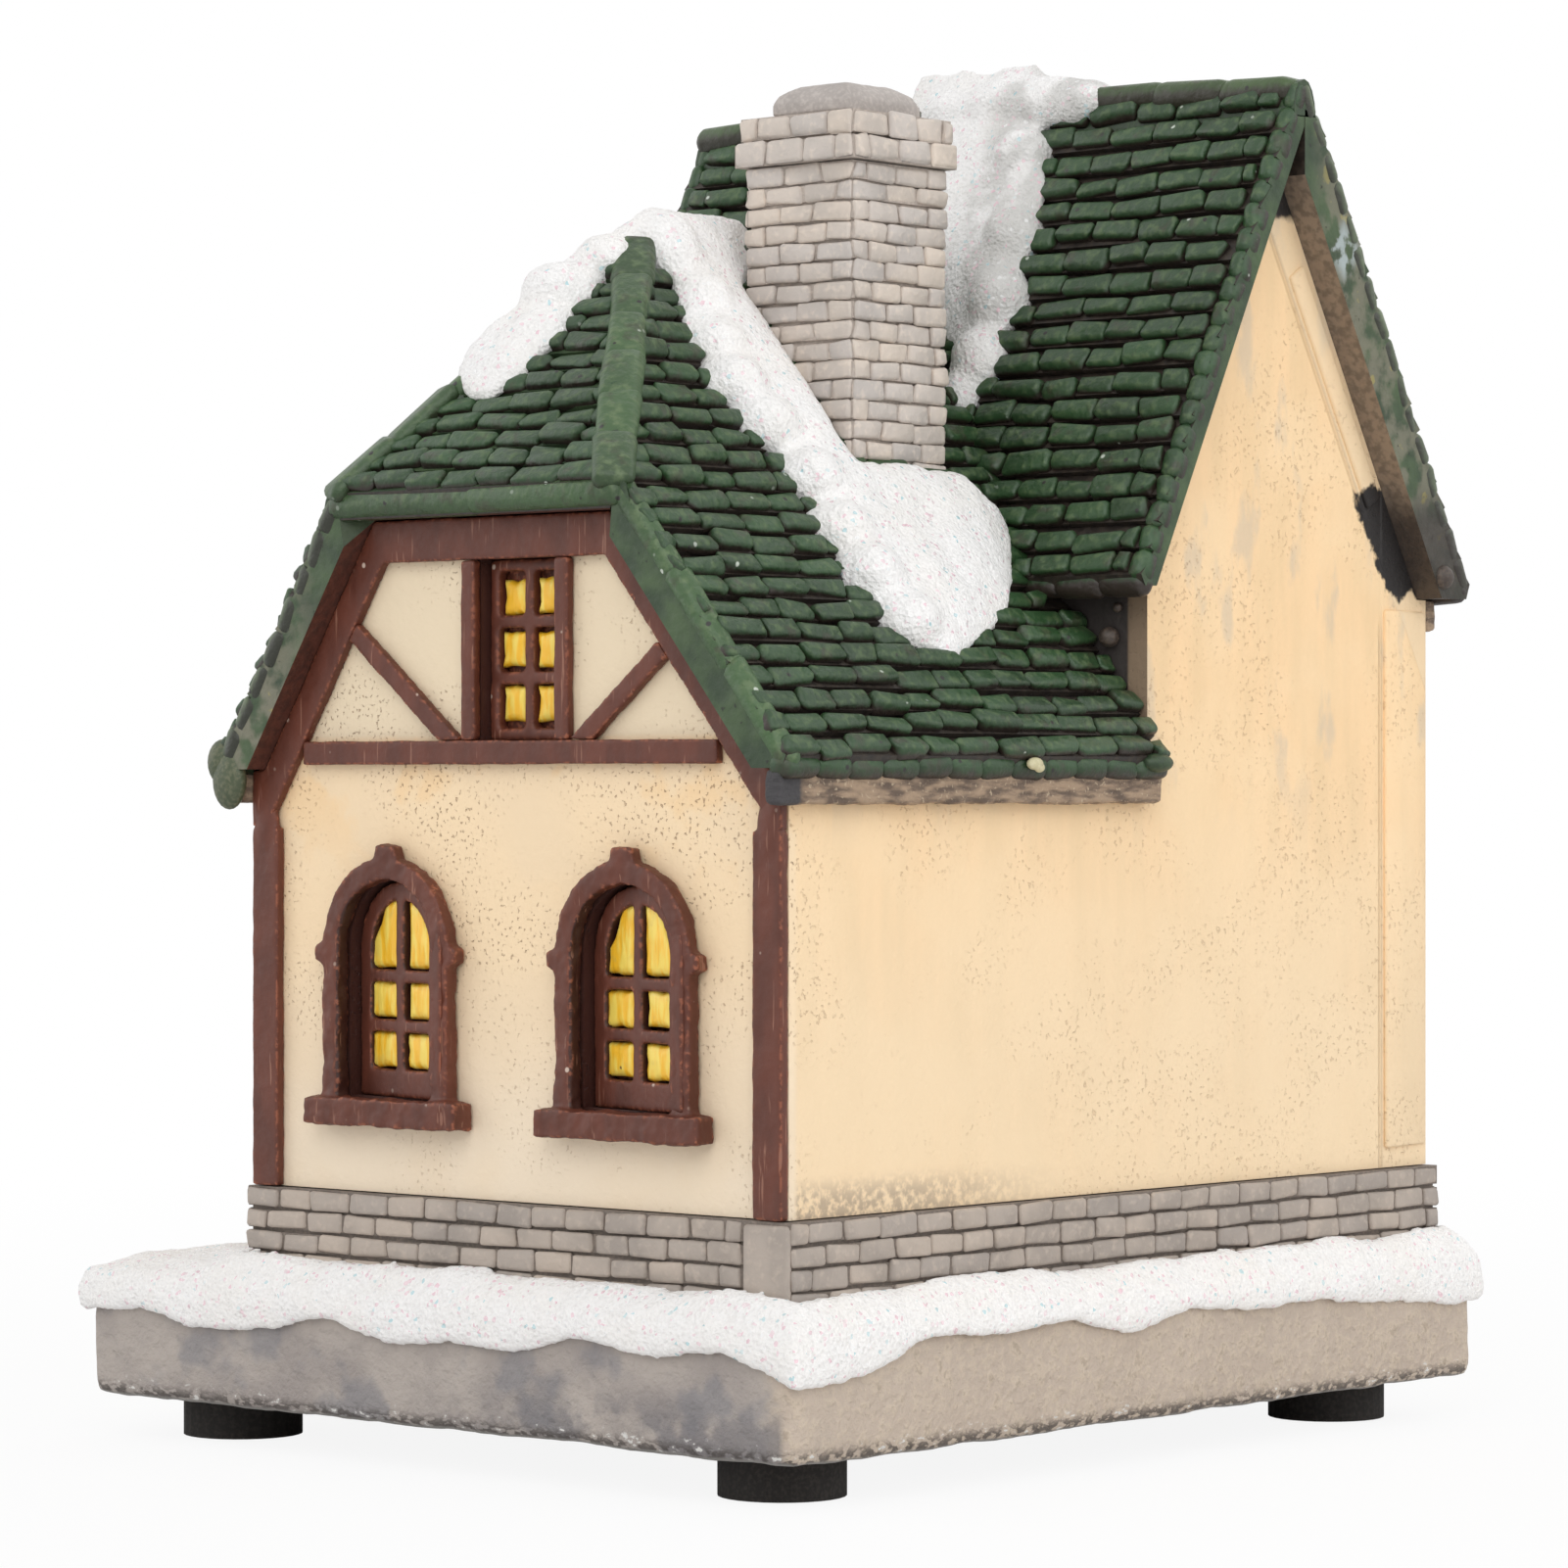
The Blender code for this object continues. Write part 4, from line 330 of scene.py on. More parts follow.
def stucco_finish():
    """Cream wall paint: brushed up and down, pitted by small air holes, paler on the timbered front."""
    paint = Finish("stucco_cream")
    x, y, z = paint.x, paint.y, paint.z
    tie_top = corner_mm("tie_beam", 1).z
    broad = paint.noise(11, 3)
    brushed = paint.noise(2.4, 4, stretch=(1, 1, 0.16), shift=6.0)
    fine = paint.noise(0.6, 3, shift=1.0)
    paint.base(brushed.rise(0.3, 0.7), (253, 217, 170), (243, 210, 164))
    paint.lay(broad.rise(0.4, 0.65) * 0.7, (253, 222, 178))
    paint.lay(z.rise(62, 30) * 0.55, (244, 223, 190))
    # Greyer patches high on the walls
    greyer_high = paint.noise(4, 4, shift=33.0, stretch=(1, 1, 0.4)).rise(0.55, 0.66) * z.rise(48, 60)
    paint.lay(greyer_high * 0.5, (206, 192, 172))
    side = paint.colour
    on_front = y.rise(wall_front + 1.2, wall_front + 0.4)
    above_tie = z.rise(tie_top, tie_top + 0.6)
    paint.base(z.rise(24, 44), (246, 228, 202), (252, 225, 186))
    paint.lay(broad.rise(0.4, 0.65) * 0.4, (242, 218, 184))
    paint.lay(above_tie, (240, 221, 190))
    peach = paint.noise(6, 4, shift=15.0).rise(0.5, 0.6) * z.rise(tie_top - 14, tie_top - 3) * (1 - above_tie)
    paint.lay(peach * 0.8, (251, 216, 168))
    paint.base(on_front, side, paint.colour)
    clusters = paint.noise(9, 4, shift=21.0).rise(0.4, 0.62)
    pitted = clusters * (0.45 + on_front * z.rise(26, 46) * 0.55)
    pits = paint.noise(0.36, 3, shift=3.0).rise(0.6, 0.7) * pitted
    paint.lay(pits * 0.55, (190, 146, 104))
    smear = z.rise(plinth_top + 3.6, plinth_top + 1.2) * y.rise(-6, -30) * (1 - on_front)
    paint.lay(smear * fine.rise(0.3, 0.6) * 0.75, (170, 152, 132))
    # A slanted moulding under the rear verge and a raised strip at the back corner, with painted shade in the
    # grooves along their edges
    slant = z + y * VERGE_SLANT
    on_side = x.rise(30, 34)
    moulding = slant.rise(REAR_VERGE - 5, REAR_VERGE - 4.4) * on_side
    strip = y.rise(34.8, 35.2) * on_side
    groove_shade = (slant - (REAR_VERGE - 4.9)).size().rise(0.9, 0.2) * z.rise(77, 78.5)
    groove_shade = groove_shade.larger((y - 34.9).size().rise(0.4, 0.1) * z.rise(70, 66)) * on_side
    # Painted shade: darker lines in the grooves along the moulding and the strip
    paint.lay(groove_shade * 0.3, (200, 166, 124))
    paint.lay(moulding * 0.5, (238, 216, 182))
    # Black under the rear eave and in the peak
    ragged = (paint.noise(1.6, 3, shift=41.0) - 0.5) * 5
    level = z + ragged
    blot = (y * 1.7 + level).rise(131.5, 132.3) * level.rise(70.4, 71.2) * level.rise(80, 79)
    peak = (z + ragged * 0.4).rise(101.6, 102.4)
    paint.lay(blot.larger(peak) * on_side, (30, 26, 25))
    # The dark slip of the main block's front beside the wing's roof, and its timber edge
    near_front = y.rise(main_front + 1.5, main_front + 0.8) * y.rise(main_front - 1.5, main_front - 0.5)
    shadowed = near_front * z.rise(tie_top - 2, tie_top) * (paint.facing("Y") * -1).rise(0.3, 0.6)
    paint.lay(shadowed, (60, 54, 52))
    edged = paint.mix(brushed.rise(0.4, 0.6), (104, 86, 72), (148, 126, 104))
    paint.lay(shadowed * x.rise(34.3, 34.6), edged)
    # Brown paint inside the window openings and on the wall just round them, under the surrounds
    behind = y.rise(wall_front + 0.05, wall_front + 0.2) * y.rise(wall_front + 2.4, wall_front + 2.2)
    reveal = behind * paint.facing("Y").size().rise(0.7, 0.5) * x.rise(34.5, 34) * x.rise(-20, -19.5)
    near_arch = paint.from_window().rise(6.2, 6.1) * z.rise(27.6, 27.8)
    near_attic = paint.near(x, ATTIC_WINDOW, 4.9) * z.rise(57.2, 57.3) * z.rise(73.6, 73.5)
    rim = y.rise(wall_front + 0.4, wall_front + 0.35) * near_arch.larger(near_attic)
    # Likewise on the left: the window in the wing's wall, the attic window and the door in the main block's
    left_arch = paint.from_arch(y - SIDE_WINDOW, ARCH_SPRING).rise(6.2, 6.1) * z.rise(27.6, 27.8)
    left_rim = left_arch * x.rise(-19, -19.4)
    door_rim = paint.from_arch(y - SIDE_DOOR, DOOR_SPRING).rise(5.6, 5.5)
    attic_rim = paint.near(y, SIDE_ATTIC[0], 4.8) * paint.near(z, SIDE_ATTIC[1], 6.8)
    left_rim = left_rim.larger(door_rim.larger(attic_rim) * x.rise(-23.6, -23.8))
    paint.lay(reveal.larger(rim).larger(left_rim), (66, 32, 23))
    worked = fine * 0.4 + brushed * 0.6 - pits * 0.8 - groove_shade * 0.8 + (moulding + strip) * 0.8
    return paint.done(0.5 + fine * 0.25, worked, depth=0.18)


def brick_finish(name, cool, warm, joint):
    """Grey bricks with soft crowns, dark in the joints, warmer here and there."""
    paint = Finish(name)
    crown = paint.attribute("crown")
    fine = paint.noise(0.7, 4)
    broad = paint.noise(5, 3, shift=4.0)
    paint.base(paint.attribute("shade"), cool, warm)
    paint.lay(broad.rise(0.4, 0.66) * 0.5, scaled(cool, 0.84))
    paint.lay(fine.rise(0.5, 0.75) * 0.4, scaled(warm, 1.1))
    paint.base((crown + (fine - 0.5) * 0.4).rise(0.0, 0.4), joint, paint.colour)
    return paint.done(0.6 + fine * 0.25, fine, depth=0.14)


def stone_finish():
    """Painted grey slab: bluish blotches in front, warm worm-like marks at the side, a chipped lower edge."""
    paint = Finish("slab_stone")
    broad = paint.noise(9, 4)
    fine = paint.noise(0.9, 4, shift=7.0)
    worms = paint.noise(1.0, 4, shift=12.0, rough=0.6)
    chips = paint.noise(1.0, 4, shift=18.0, stretch=(1, 1, 2))
    paint.base(broad.rise(0.35, 0.65), (160, 151, 146), (184, 174, 166))
    blue = paint.noise(6, 3, shift=30.0).rise(0.5, 0.62) * paint.y.rise(-30, -44)
    paint.lay(blue * 0.6, (128, 128, 133))
    side = paint.x.rise(36, 38.6)
    paint.lay(side * 0.7, (202, 184, 166))
    paint.lay(side * worms.rise(0.45, 0.6) * 0.4, (216, 200, 178))
    paint.lay(side * worms.rise(0.58, 0.68) * 0.5, (160, 144, 128))
    low = paint.z.rise(9, 5.5) * paint.x.rise(-6, 20) * paint.y.rise(-40, -43) * paint.x.rise(38.8, 38)
    paint.lay(low * paint.noise(3.5, 4, shift=25.0).rise(0.4, 0.54) * 0.7, (114, 112, 116))
    edge = (paint.z + (chips - 0.5) * 2.0).rise(5.1, 4.1)
    paint.lay(edge * chips.rise(0.44, 0.54) * 0.85, (74, 67, 63))
    paint.lay(edge * chips.rise(0.37, 0.32), (226, 224, 220))
    paint.lay(paint.facing_down(0.6, 0.9), (150, 146, 142))
    return paint.done(0.55 + fine * 0.3, fine + worms * 1.4, depth=0.3)


def board_finish():
    """Weathered board under the eaves: grey brown, with a coarse pale grain."""
    paint = Finish("eave_board")
    grain = paint.noise(0.7, 5, stretch=(0.3, 0.3, 1.2))
    fine = paint.noise(0.35, 3, shift=3.0)
    paint.base(grain.rise(0.35, 0.65), (100, 84, 72), (168, 144, 120))
    paint.lay(fine.rise(0.6, 0.7) * 0.7, (200, 180, 154))
    paint.lay(paint.y.rise(-41.6, -42.2) * paint.x.rise(30, 34), (66, 64, 66))
    return paint.done(0.6 + fine * 0.25, grain + fine * 0.5, depth=0.3)


def pane_finish():
    """Yellow enamel for lit panes, thick in the middle and thin towards the edges."""
    paint = Finish("pane_yellow", coat=0.2)
    flow = paint.noise(1.6, 3)
    strokes = paint.noise(0.7, 2, stretch=(1, 1, 0.2), shift=4.0)
    paint.base(strokes.rise(0.4, 0.62), (255, 196, 40), (255, 224, 98))
    paint.lay(flow.rise(0.62, 0.75) * 0.5, (226, 192, 84))
    paint.base(paint.attribute("crown").rise(0.02, 0.4), (170, 104, 28), paint.colour)
    paint.lay(paint.specks(0.9, 0.05, 2.0, reach=0.18), (120, 84, 40))
    return paint.done(0.3 + flow * 0.2, flow + strokes, depth=0.12)


def moulded_finish(name, colour, light, roughness):
    """Plastic, foam or board with a fine even grain."""
    paint = Finish(name)
    grain = paint.noise(0.35, 3)
    broad = paint.noise(4, 2, shift=5.0)
    paint.base(grain.rise(0.4, 0.7), colour, light)
    paint.lay(broad.rise(0.4, 0.7) * 0.3, scaled(colour, 0.8))
    return paint.done(roughness - 0.1 + grain * 0.2, grain, depth=0.05)


def steel_finish():
    paint = Finish("brushed_steel", metallic=1.0)
    lines = paint.noise(0.3, 3, stretch=(0.1, 1, 1))
    paint.base(lines.rise(0.35, 0.7), (176, 176, 174), (214, 213, 208))
    return paint.done(0.2 + lines * 0.25, lines, depth=0.01)


# Making pieces

# How far a front window's sash stands out at its right end, and how much wider it is than the solid
SASH_SKEW = 2.6
SASH_STRETCH = 1.13


def add(name, data):
    """A new object in the scene, from a mesh, a lamp or a lens."""
    made = bpy.data.objects.new(name, data)
    bpy.context.scene.collection.objects.link(made)
    return made


def select_only(pieces, active):
    bpy.ops.object.select_all(action="DESELECT")
    for piece in pieces:
        piece.select_set(True)
    bpy.context.view_layer.objects.active = active


def show(piece, finish, body=ON_HOUSE):
    piece.data.materials.clear()
    piece.data.materials.append(finish.material)
    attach(piece, body)


def paint_nodes(names, finish):
    for name in names:
        for place in nodes[name].material_slots:
            place.material = finish.material


def corner_mm(name, which):
    """A CAD node's lowest (0) or highest (1) corner, in millimetres."""
    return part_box(name)[which] / MM


def corners_mm(name):
    return corner_mm(name, 0), corner_mm(name, 1)


def clouds(size):
    texture = bpy.data.textures.new("clouds", "CLOUDS")
    texture.noise_scale = size * MM
    texture.noise_depth = 2
    return texture


def swell(piece, amount, texture=None):
    """Moves the surface out, by the same amount or by a texture's share of it either way."""
    modifier = piece.modifiers.new("swell", "DISPLACE")
    modifier.strength = amount * MM
    modifier.mid_level = 0.5 if texture else 0
    if texture:
        modifier.texture = texture
        modifier.texture_coords = "LOCAL"


def ball(place, reach):
    """A ball with this centre, and how far it reaches along each axis."""
    bpy.ops.mesh.primitive_uv_sphere_add(segments=24, ring_count=12, radius=MM, location=Vector(place) * MM)
    bpy.context.object.scale = reach
    return bpy.context.object


def join_heaps(piece, heaps):
    """Adds balls to the piece."""
    balls = [ball(*heap) for heap in heaps]
    if balls:
        select_only([*balls, piece], piece)
        bpy.ops.object.join()


def skewed(place, low, high):
    """A place on a front window's sash once the sash stands out of its opening at the right."""
    share = (place.x - low.x) / (high.x - low.x)
    wider = low.x + 0.15 + (place.x - low.x) * SASH_STRETCH
    return Vector((wider, place.y - share * SASH_SKEW, place.z))


def cast(node, finish, lumps, ending="_cast", cell=0.2, grow=0.07, soften=4, heaps=(), skew=False):
    """A copy of a CAD node with the soft edges and slight waves of cast resin, which stands for the node."""
    piece = add(node + ending, nodes[node].data.copy())
    bm = bmesh.new()
    bm.from_mesh(piece.data)
    bmesh.ops.remove_doubles(bm, verts=bm.verts, dist=1e-6)
    if skew:
        low, high = corners_mm(node)
        for vertex in bm.verts:
            vertex.co = skewed(vertex.co / MM, low, high) * MM
    bm.to_mesh(piece.data)
    bm.free()
    join_heaps(piece, heaps)
    swell(piece, grow)
    mesh_again = piece.modifiers.new("cells", "REMESH")
    mesh_again.mode = "VOXEL"
    mesh_again.voxel_size = cell * MM
    mesh_again.use_smooth_shade = True
    smooth = piece.modifiers.new("soften", "SMOOTH")
    smooth.factor = 0.5
    smooth.iterations = soften
    for size, depth in lumps:
        swell(piece, depth, clouds(size))
    select_only([piece], piece)
    for modifier in list(piece.modifiers):
        bpy.ops.object.modifier_apply(modifier=modifier.name)
    show(piece, finish)
    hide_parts(node)


def pillow_pattern(width, length, height, round_off, segments=2):
    """A block that rests on zero, with its upper edges rounded over."""
    bpy.ops.object.select_all(action="DESELECT")
    bpy.ops.mesh.primitive_cube_add(size=1, location=(0, 0, height * MM / 2))
    block = bpy.context.object
    block.scale = (width * MM, length * MM, height * MM)
    bpy.ops.object.transform_apply(location=True, scale=True)
    bpy.ops.object.mode_set(mode="EDIT")
    bpy.ops.mesh.select_all(action="DESELECT")
    bpy.ops.mesh.select_mode(type="EDGE")
    bm = bmesh.from_edit_mesh(block.data)
    for edge in bm.edges:
        middle = (edge.verts[0].co + edge.verts[1].co) / 2 / MM
        edge.select_set(middle.z > height * 0.4)
    bm.select_flush(True)
    bmesh.update_edit_mesh(block.data)
    bpy.ops.mesh.bevel(offset=round_off * MM, segments=segments, profile=0.5)
    bpy.ops.object.mode_set(mode="OBJECT")
    bpy.ops.object.shade_smooth()
    return block


def copies(name, pattern, places, finish, wobble=0.06, foot=0.0, loose=0.9):
    """One piece from many copies of a pattern, which is then discarded.

    Each copy has its own place, shade and slight waves. The crown goes from 0 at the foot, a share of the
    pattern's height, to 1 at its top.
    """
    corners = [vertex.co.copy() for vertex in pattern.data.vertices]
    top = max(corner.z for corner in corners)
    sides = [tuple(face.vertices) for face in pattern.data.polygons]
    points, faces, crowns, shades = [], [], [], []
    for matrix, shade in places:
        first = len(points)
        for corner in corners:
            place = matrix @ (corner / MM)
            place += noise.noise_vector(place / loose) * wobble
            points.append(place * MM)
            crowns.append(max(0.0, (corner.z / top - foot) / (1 - foot)))
            shades.append(shade)
        faces += [tuple(first + k for k in side) for side in sides]
    mesh = bpy.data.meshes.new(name)
    mesh.from_pydata(points, [], faces)
    for key, values in (("crown", crowns), ("shade", shades)):
        mesh.attributes.new(key, "FLOAT", "POINT").data.foreach_set("value", values)
    mesh.shade_smooth()
    show(add(name, mesh), finish)
    bpy.data.objects.remove(pattern, do_unlink=True)


def directions(across, along, out):
    """The matrix that lays a pattern's X, Y and Z along three directions."""
    return Matrix((across, along, out)).transposed().to_4x4()


def turned(degrees, axis="Z"):
    return Matrix.Rotation(math.radians(degrees), 4, axis)


# Roof

walls_low, walls_high = corners_mm("house_walls")
wall_front = walls_low.y
wall_right = walls_high.x
plinth_top = walls_low.z - 0.1
main_front = 2.4

# The wing's roof: front verge, ridge, eaves, and where the hip begins and how far back it runs
verge_y = -44.4
ridge_x, ridge_z = 3.8, 98.3
left_eave_x, right_eave_x, wing_eave_z = -23.05, 38.25, 56.4
hip_eave_z, hip_run = 77.5, 20.9

# The main roof: its ends along X, and its eaves and ridge as Y and Z
roof_left, roof_right = -28.65, 39.05
front_eave = (-1.2, 71.2)
back_eave = (44.0, 71.6)
main_ridge = (20.4, 112.9)

front_pitch = (main_ridge[1] - front_eave[1]) / (main_ridge[0] - front_eave[0])
right_pitch = (ridge_z - wing_eave_z) / (right_eave_x - ridge_x)
left_pitch = (ridge_z - wing_eave_z) / (ridge_x - left_eave_x)

TILE_WIDTH = 4.4
TILE_HEIGHT = 1.25
TILE_GAP = 0.14
# A tile's length as a share of its course
TILE_SHARE = 0.74
SHORTEST_TILE = 0.9


class Slope:
    """A tiled slope: its eave's line, the ways along it, up it and out, and where each course ends."""

    def __init__(self, eave, ridge, along, courses, span):
        self.eave = Vector(eave)
        self.along = Vector(along)
        rise = Vector(ridge) - self.eave
        self.up = rise.normalized()
        self.out = self.along.cross(self.up).normalized()
        if self.out.z < 0:
            self.out = -self.out
        self.courses = courses
        self.course = rise.length / courses
        self.span = span

    def point(self, reach, climb):
        """The point this far along the slope and this far up it."""
        origin = self.eave + self.up * climb
        return origin + self.along * (reach - origin.dot(self.along))

    def place(self, reach, climb, tilt, turn, stretch):
        """The matrix that lays a tile on the slope, its lower edge raised."""
        laid = directions(self.up.cross(self.out), self.up, self.out)
        tipped = turned(tilt, "X") @ turned(turn)
        return Matrix.Translation(self.point(reach, climb)) @ laid @ tipped @ Matrix.Diagonal((*stretch, 1))


def tile_course_places(slope, seed):
    chance = random.Random(seed)
    places = []
    for course in range(slope.courses):
        climb = (course + TILE_SHARE / 2) * slope.course
        start, end = slope.span((slope.eave + slope.up * climb).z)
        reach = start - chance.uniform(0, TILE_WIDTH) if end - start > TILE_WIDTH else start
        while reach < end:
            width = TILE_WIDTH * chance.uniform(0.82, 1.2)
            left, right = max(reach, start), min(reach + width, end)
            middle = (left + right) / 2
            reach += width
            if right - left < SHORTEST_TILE or hidden(slope.point(middle, climb)):
                continue
            wider = (right - left - TILE_GAP) / TILE_WIDTH
            stretch = (wider, chance.uniform(0.92, 1.1), chance.uniform(0.85, 1.15))
            tilt, turn = chance.uniform(-9, -4), chance.uniform(-4, 4)
            jog = chance.uniform(-0.16, 0.16) + noise.noise(Vector((middle / 9, course * 0.7, seed))) * 0.5
            places.append((slope.place(middle, climb + jog, tilt, turn, stretch), chance.random()))
    return places


def hip_y(level):
    """Where the hip crosses this level: the wing's verge below it, its apex at the top."""
    share = max(0.0, (level - hip_eave_z) / (ridge_z - hip_eave_z))
    return verge_y + hip_run * share


def valley_y(level):
    """Where the wing's slopes run into the main block."""
    if level < front_eave[1] - 2:
        return main_front
    return front_eave[0] + (level - front_eave[1]) / front_pitch + 1


def wing_span(level):
    return hip_y(level) + (0.1 if level < hip_eave_z else 0.6), valley_y(level)


def hip_span(level):
    below = ridge_z - level
    return ridge_x - below / left_pitch, ridge_x + below / right_pitch


def main_span(level):
    return roof_left + 1.4, roof_right - 1.4


def hidden(place):
    """Whether a tile would lie inside the chimney, or on the main roof well inside the wing's."""
    left, right = hip_span(place.z)
    under_wing = -1.5 < place.y < 12 and left + 4 < place.x < right - 4
    in_chimney = 9.5 < place.x < 18 and -13 < place.y < -4.5
    return under_wing or in_chimney


wing_ridge = (ridge_x, 0, ridge_z)
SLOPES = {
    "wing_roof_right": Slope((right_eave_x, 0, wing_eave_z), wing_ridge, (0, 1, 0), 24, wing_span),
    "wing_roof_left": Slope((left_eave_x, 0, wing_eave_z), wing_ridge, (0, 1, 0), 24, wing_span),
    "wing_hip": Slope((0, verge_y, hip_eave_z), (0, verge_y + hip_run, ridge_z), (1, 0, 0), 13, hip_span),
    "main_roof_front": Slope((0, *front_eave), (0, *main_ridge), (1, 0, 0), 19, main_span),
    "main_roof_back": Slope((0, *back_eave), (0, *main_ridge), (1, 0, 0), 19, main_span),
}


def tile_roofs(finish):
    for seed, (name, slope) in enumerate(SLOPES.items()):
        pattern = pillow_pattern(TILE_WIDTH, slope.course * TILE_SHARE, TILE_HEIGHT, 0.48, segments=3)
        places = tile_course_places(slope, 100 + seed)
        copies(name + "_tiles", pattern, places, finish, wobble=0.32, foot=0.3, loose=1.2)


def cap_row(name, start, end, finish, seed, width=3.3, height=1.9, pitch=4.2, lift=1.4, lap=3, foot=0.3):
    """A row of lapped tiles along a ridge, a hip or an edge, whose tops stand this far above the line."""
    chance = random.Random(seed)
    start, end = Vector(start), Vector(end)
    way = (end - start).normalized()
    side = way.cross(UPRIGHT).normalized()
    up = side.cross(way)
    pattern = pillow_pattern(width, pitch * 1.12, height, min(width, height) * 0.45, segments=4)
    count = max(1, round((end - start).length / pitch))
    step = (end - start).length / count
    places = []
    for index in range(count):
        middle = start + way * step * (index + 0.5) + up * (lift - height + chance.uniform(-0.06, 0.06))
        tipped = turned(lap, "X") @ turned(chance.uniform(-1.5, 1.5))
        stretch = Matrix.Diagonal((chance.uniform(0.95, 1.06), step / pitch, 1, 1))
        laid = Matrix.Translation(middle) @ directions(side, way, up) @ tipped @ stretch
        places.append((laid, chance.random()))
    copies(name, pattern, places, finish, wobble=0.26, foot=foot, loose=2.0)


# The rows of caps. The wing has worn tiles on its left verge and one smooth band on its right
HIP_CAP = {"pitch": 6, "lap": 2, "foot": -0.4}
LEFT_VERGE = {"width": 2.2, "height": 2.0, "pitch": 3.2, "lap": 5, "lift": 1.0}
RIGHT_VERGE = {"width": 2.0, "height": 2.0, "pitch": 9.0, "lap": 1, "lift": 1.0, "foot": -1.0}
WING_EAVE = {"width": 2.0, "height": 1.9, "pitch": 4.0, "lap": 0, "lift": 0.45, "foot": -0.4}
HIP_EAVE = {"width": 2.2, "height": 2.4, "pitch": 13, "lap": 0, "lift": 0.75, "foot": -1.5}
MAIN_RIDGE = {"width": 3.5, "height": 2.4, "pitch": 6.2, "lap": 1, "lift": 1.7}
MAIN_EAVE = {"width": 2.0, "height": 2.0, "pitch": 4.4, "lap": 0, "lift": 0.5}
MAIN_VERGE = {"width": 1.7, "height": 1.9, "lap": 4, "lift": 0.85, "foot": 0.0}


def ridge_tiles(tile, sage, olive, weathered):
    apex = (ridge_x, verge_y + hip_run, ridge_z)
    feet = hip_span(hip_eave_z)
    y = verge_y + 0.9
    for way, side, eave_x, foot_x, paint, looks in (
        (1, "right", right_eave_x, feet[1], sage, RIGHT_VERGE),
        (-1, "left", left_eave_x, feet[0], weathered, LEFT_VERGE),
    ):
        cap_row(f"hip_cap_{side}_tiles", (foot_x, verge_y, hip_eave_z), apex, sage, 11 + way, **HIP_CAP)
        cap_row("wing_verge_" + side, (eave_x, y, wing_eave_z), (foot_x, y, hip_eave_z), paint, 14, **looks)
        x = eave_x - way * 0.5
        start, end = (x, verge_y + 0.1, wing_eave_z), (x, main_front, wing_eave_z)
        cap_row("wing_eave_" + side, start, end, tile, 24 + way, **WING_EAVE)
    start, end = ((x, verge_y + 0.5, hip_eave_z) for x in feet)
    cap_row("hip_eave_tiles", start, end, sage, 18, **HIP_EAVE)
    cap_row("wing_ridge_tiles", apex, (ridge_x, valley_y(ridge_z), ridge_z), sage, 21)
    middle = (17.5, *main_ridge)
    drooping = (roof_right - 0.8, main_ridge[0], main_ridge[1] - 1.0)
    cap_row("main_ridge_left_tiles", (roof_left, *main_ridge), middle, olive, 31, **MAIN_RIDGE)
    cap_row("main_ridge_right_tiles", middle, drooping, olive, 33, **MAIN_RIDGE)
    for way, (eave_y, eave_z), inward, paint, pitch in (
        ("front", front_eave, 0.5, tile, 2.4), ("back", back_eave, -0.5, weathered, 3),
    ):
        start, end = ((x, eave_y + inward, eave_z) for x in (roof_left + 0.2, roof_right - 0.2))
        cap_row("main_eave_" + way, start, end, tile, 38, **MAIN_EAVE)
        for side, x in (("left", roof_left + 0.75), ("right", roof_right - 0.75)):
            start, end = (x, eave_y, eave_z), (x, *main_ridge)
            cap_row(f"main_verge_{way}_{side}", start, end, paint, 35, pitch=pitch, **MAIN_VERGE)


# Brickwork

QUOIN = 4.8
PLINTH_COURSES = 5
PLINTH_BRICK = 4.1
CHIMNEY_COURSES = 17
CHIMNEY_COURSE = 1.62
CHIMNEY_BRICK = 3.7
CROWN_COURSE = 2.0
# How deep a brick's back lies in the joint
BRICK_BED = 0.35


def brick_run(start, end, out, low, courses, course, brick, seed):
    """Places of the bricks on one flat face, corner to corner, each course shifted by half a brick."""
    chance = random.Random(seed)
    start, end, out = Vector(start), Vector(end), Vector(out)
    along = (end - start).normalized()
    length = (end - start).length
    across = -along if along.cross(UPRIGHT).dot(out) < 0 else along
    laid = directions(across, UPRIGHT, across.cross(UPRIGHT))
    places = []
    for index in range(courses):
        reach = -brick / 2 if (index + seed) % 2 else 0.0
        while reach < length - 0.3:
            width = brick * chance.uniform(0.88, 1.12)
            left, right = max(reach, 0.0), min(reach + width, length)
            if length - right < 1.0:
                right = length
            reach = right if right == length else reach + width
            if right - left < 0.7:
                continue
            middle = start + along * (left + right) / 2 - out * BRICK_BED
            middle.z = low + (index + 0.5) * course + chance.uniform(-0.05, 0.05)
            tipped = laid @ turned(chance.uniform(-2, 2))
            stretch = ((right - left - 0.2) / brick, chance.uniform(0.9, 1.08), chance.uniform(0.8, 1.25), 1)
            place = Matrix.Translation(middle) @ tipped @ Matrix.Diagonal(stretch)
            places.append((place, chance.random()))
            if right == length:
                break
    return places


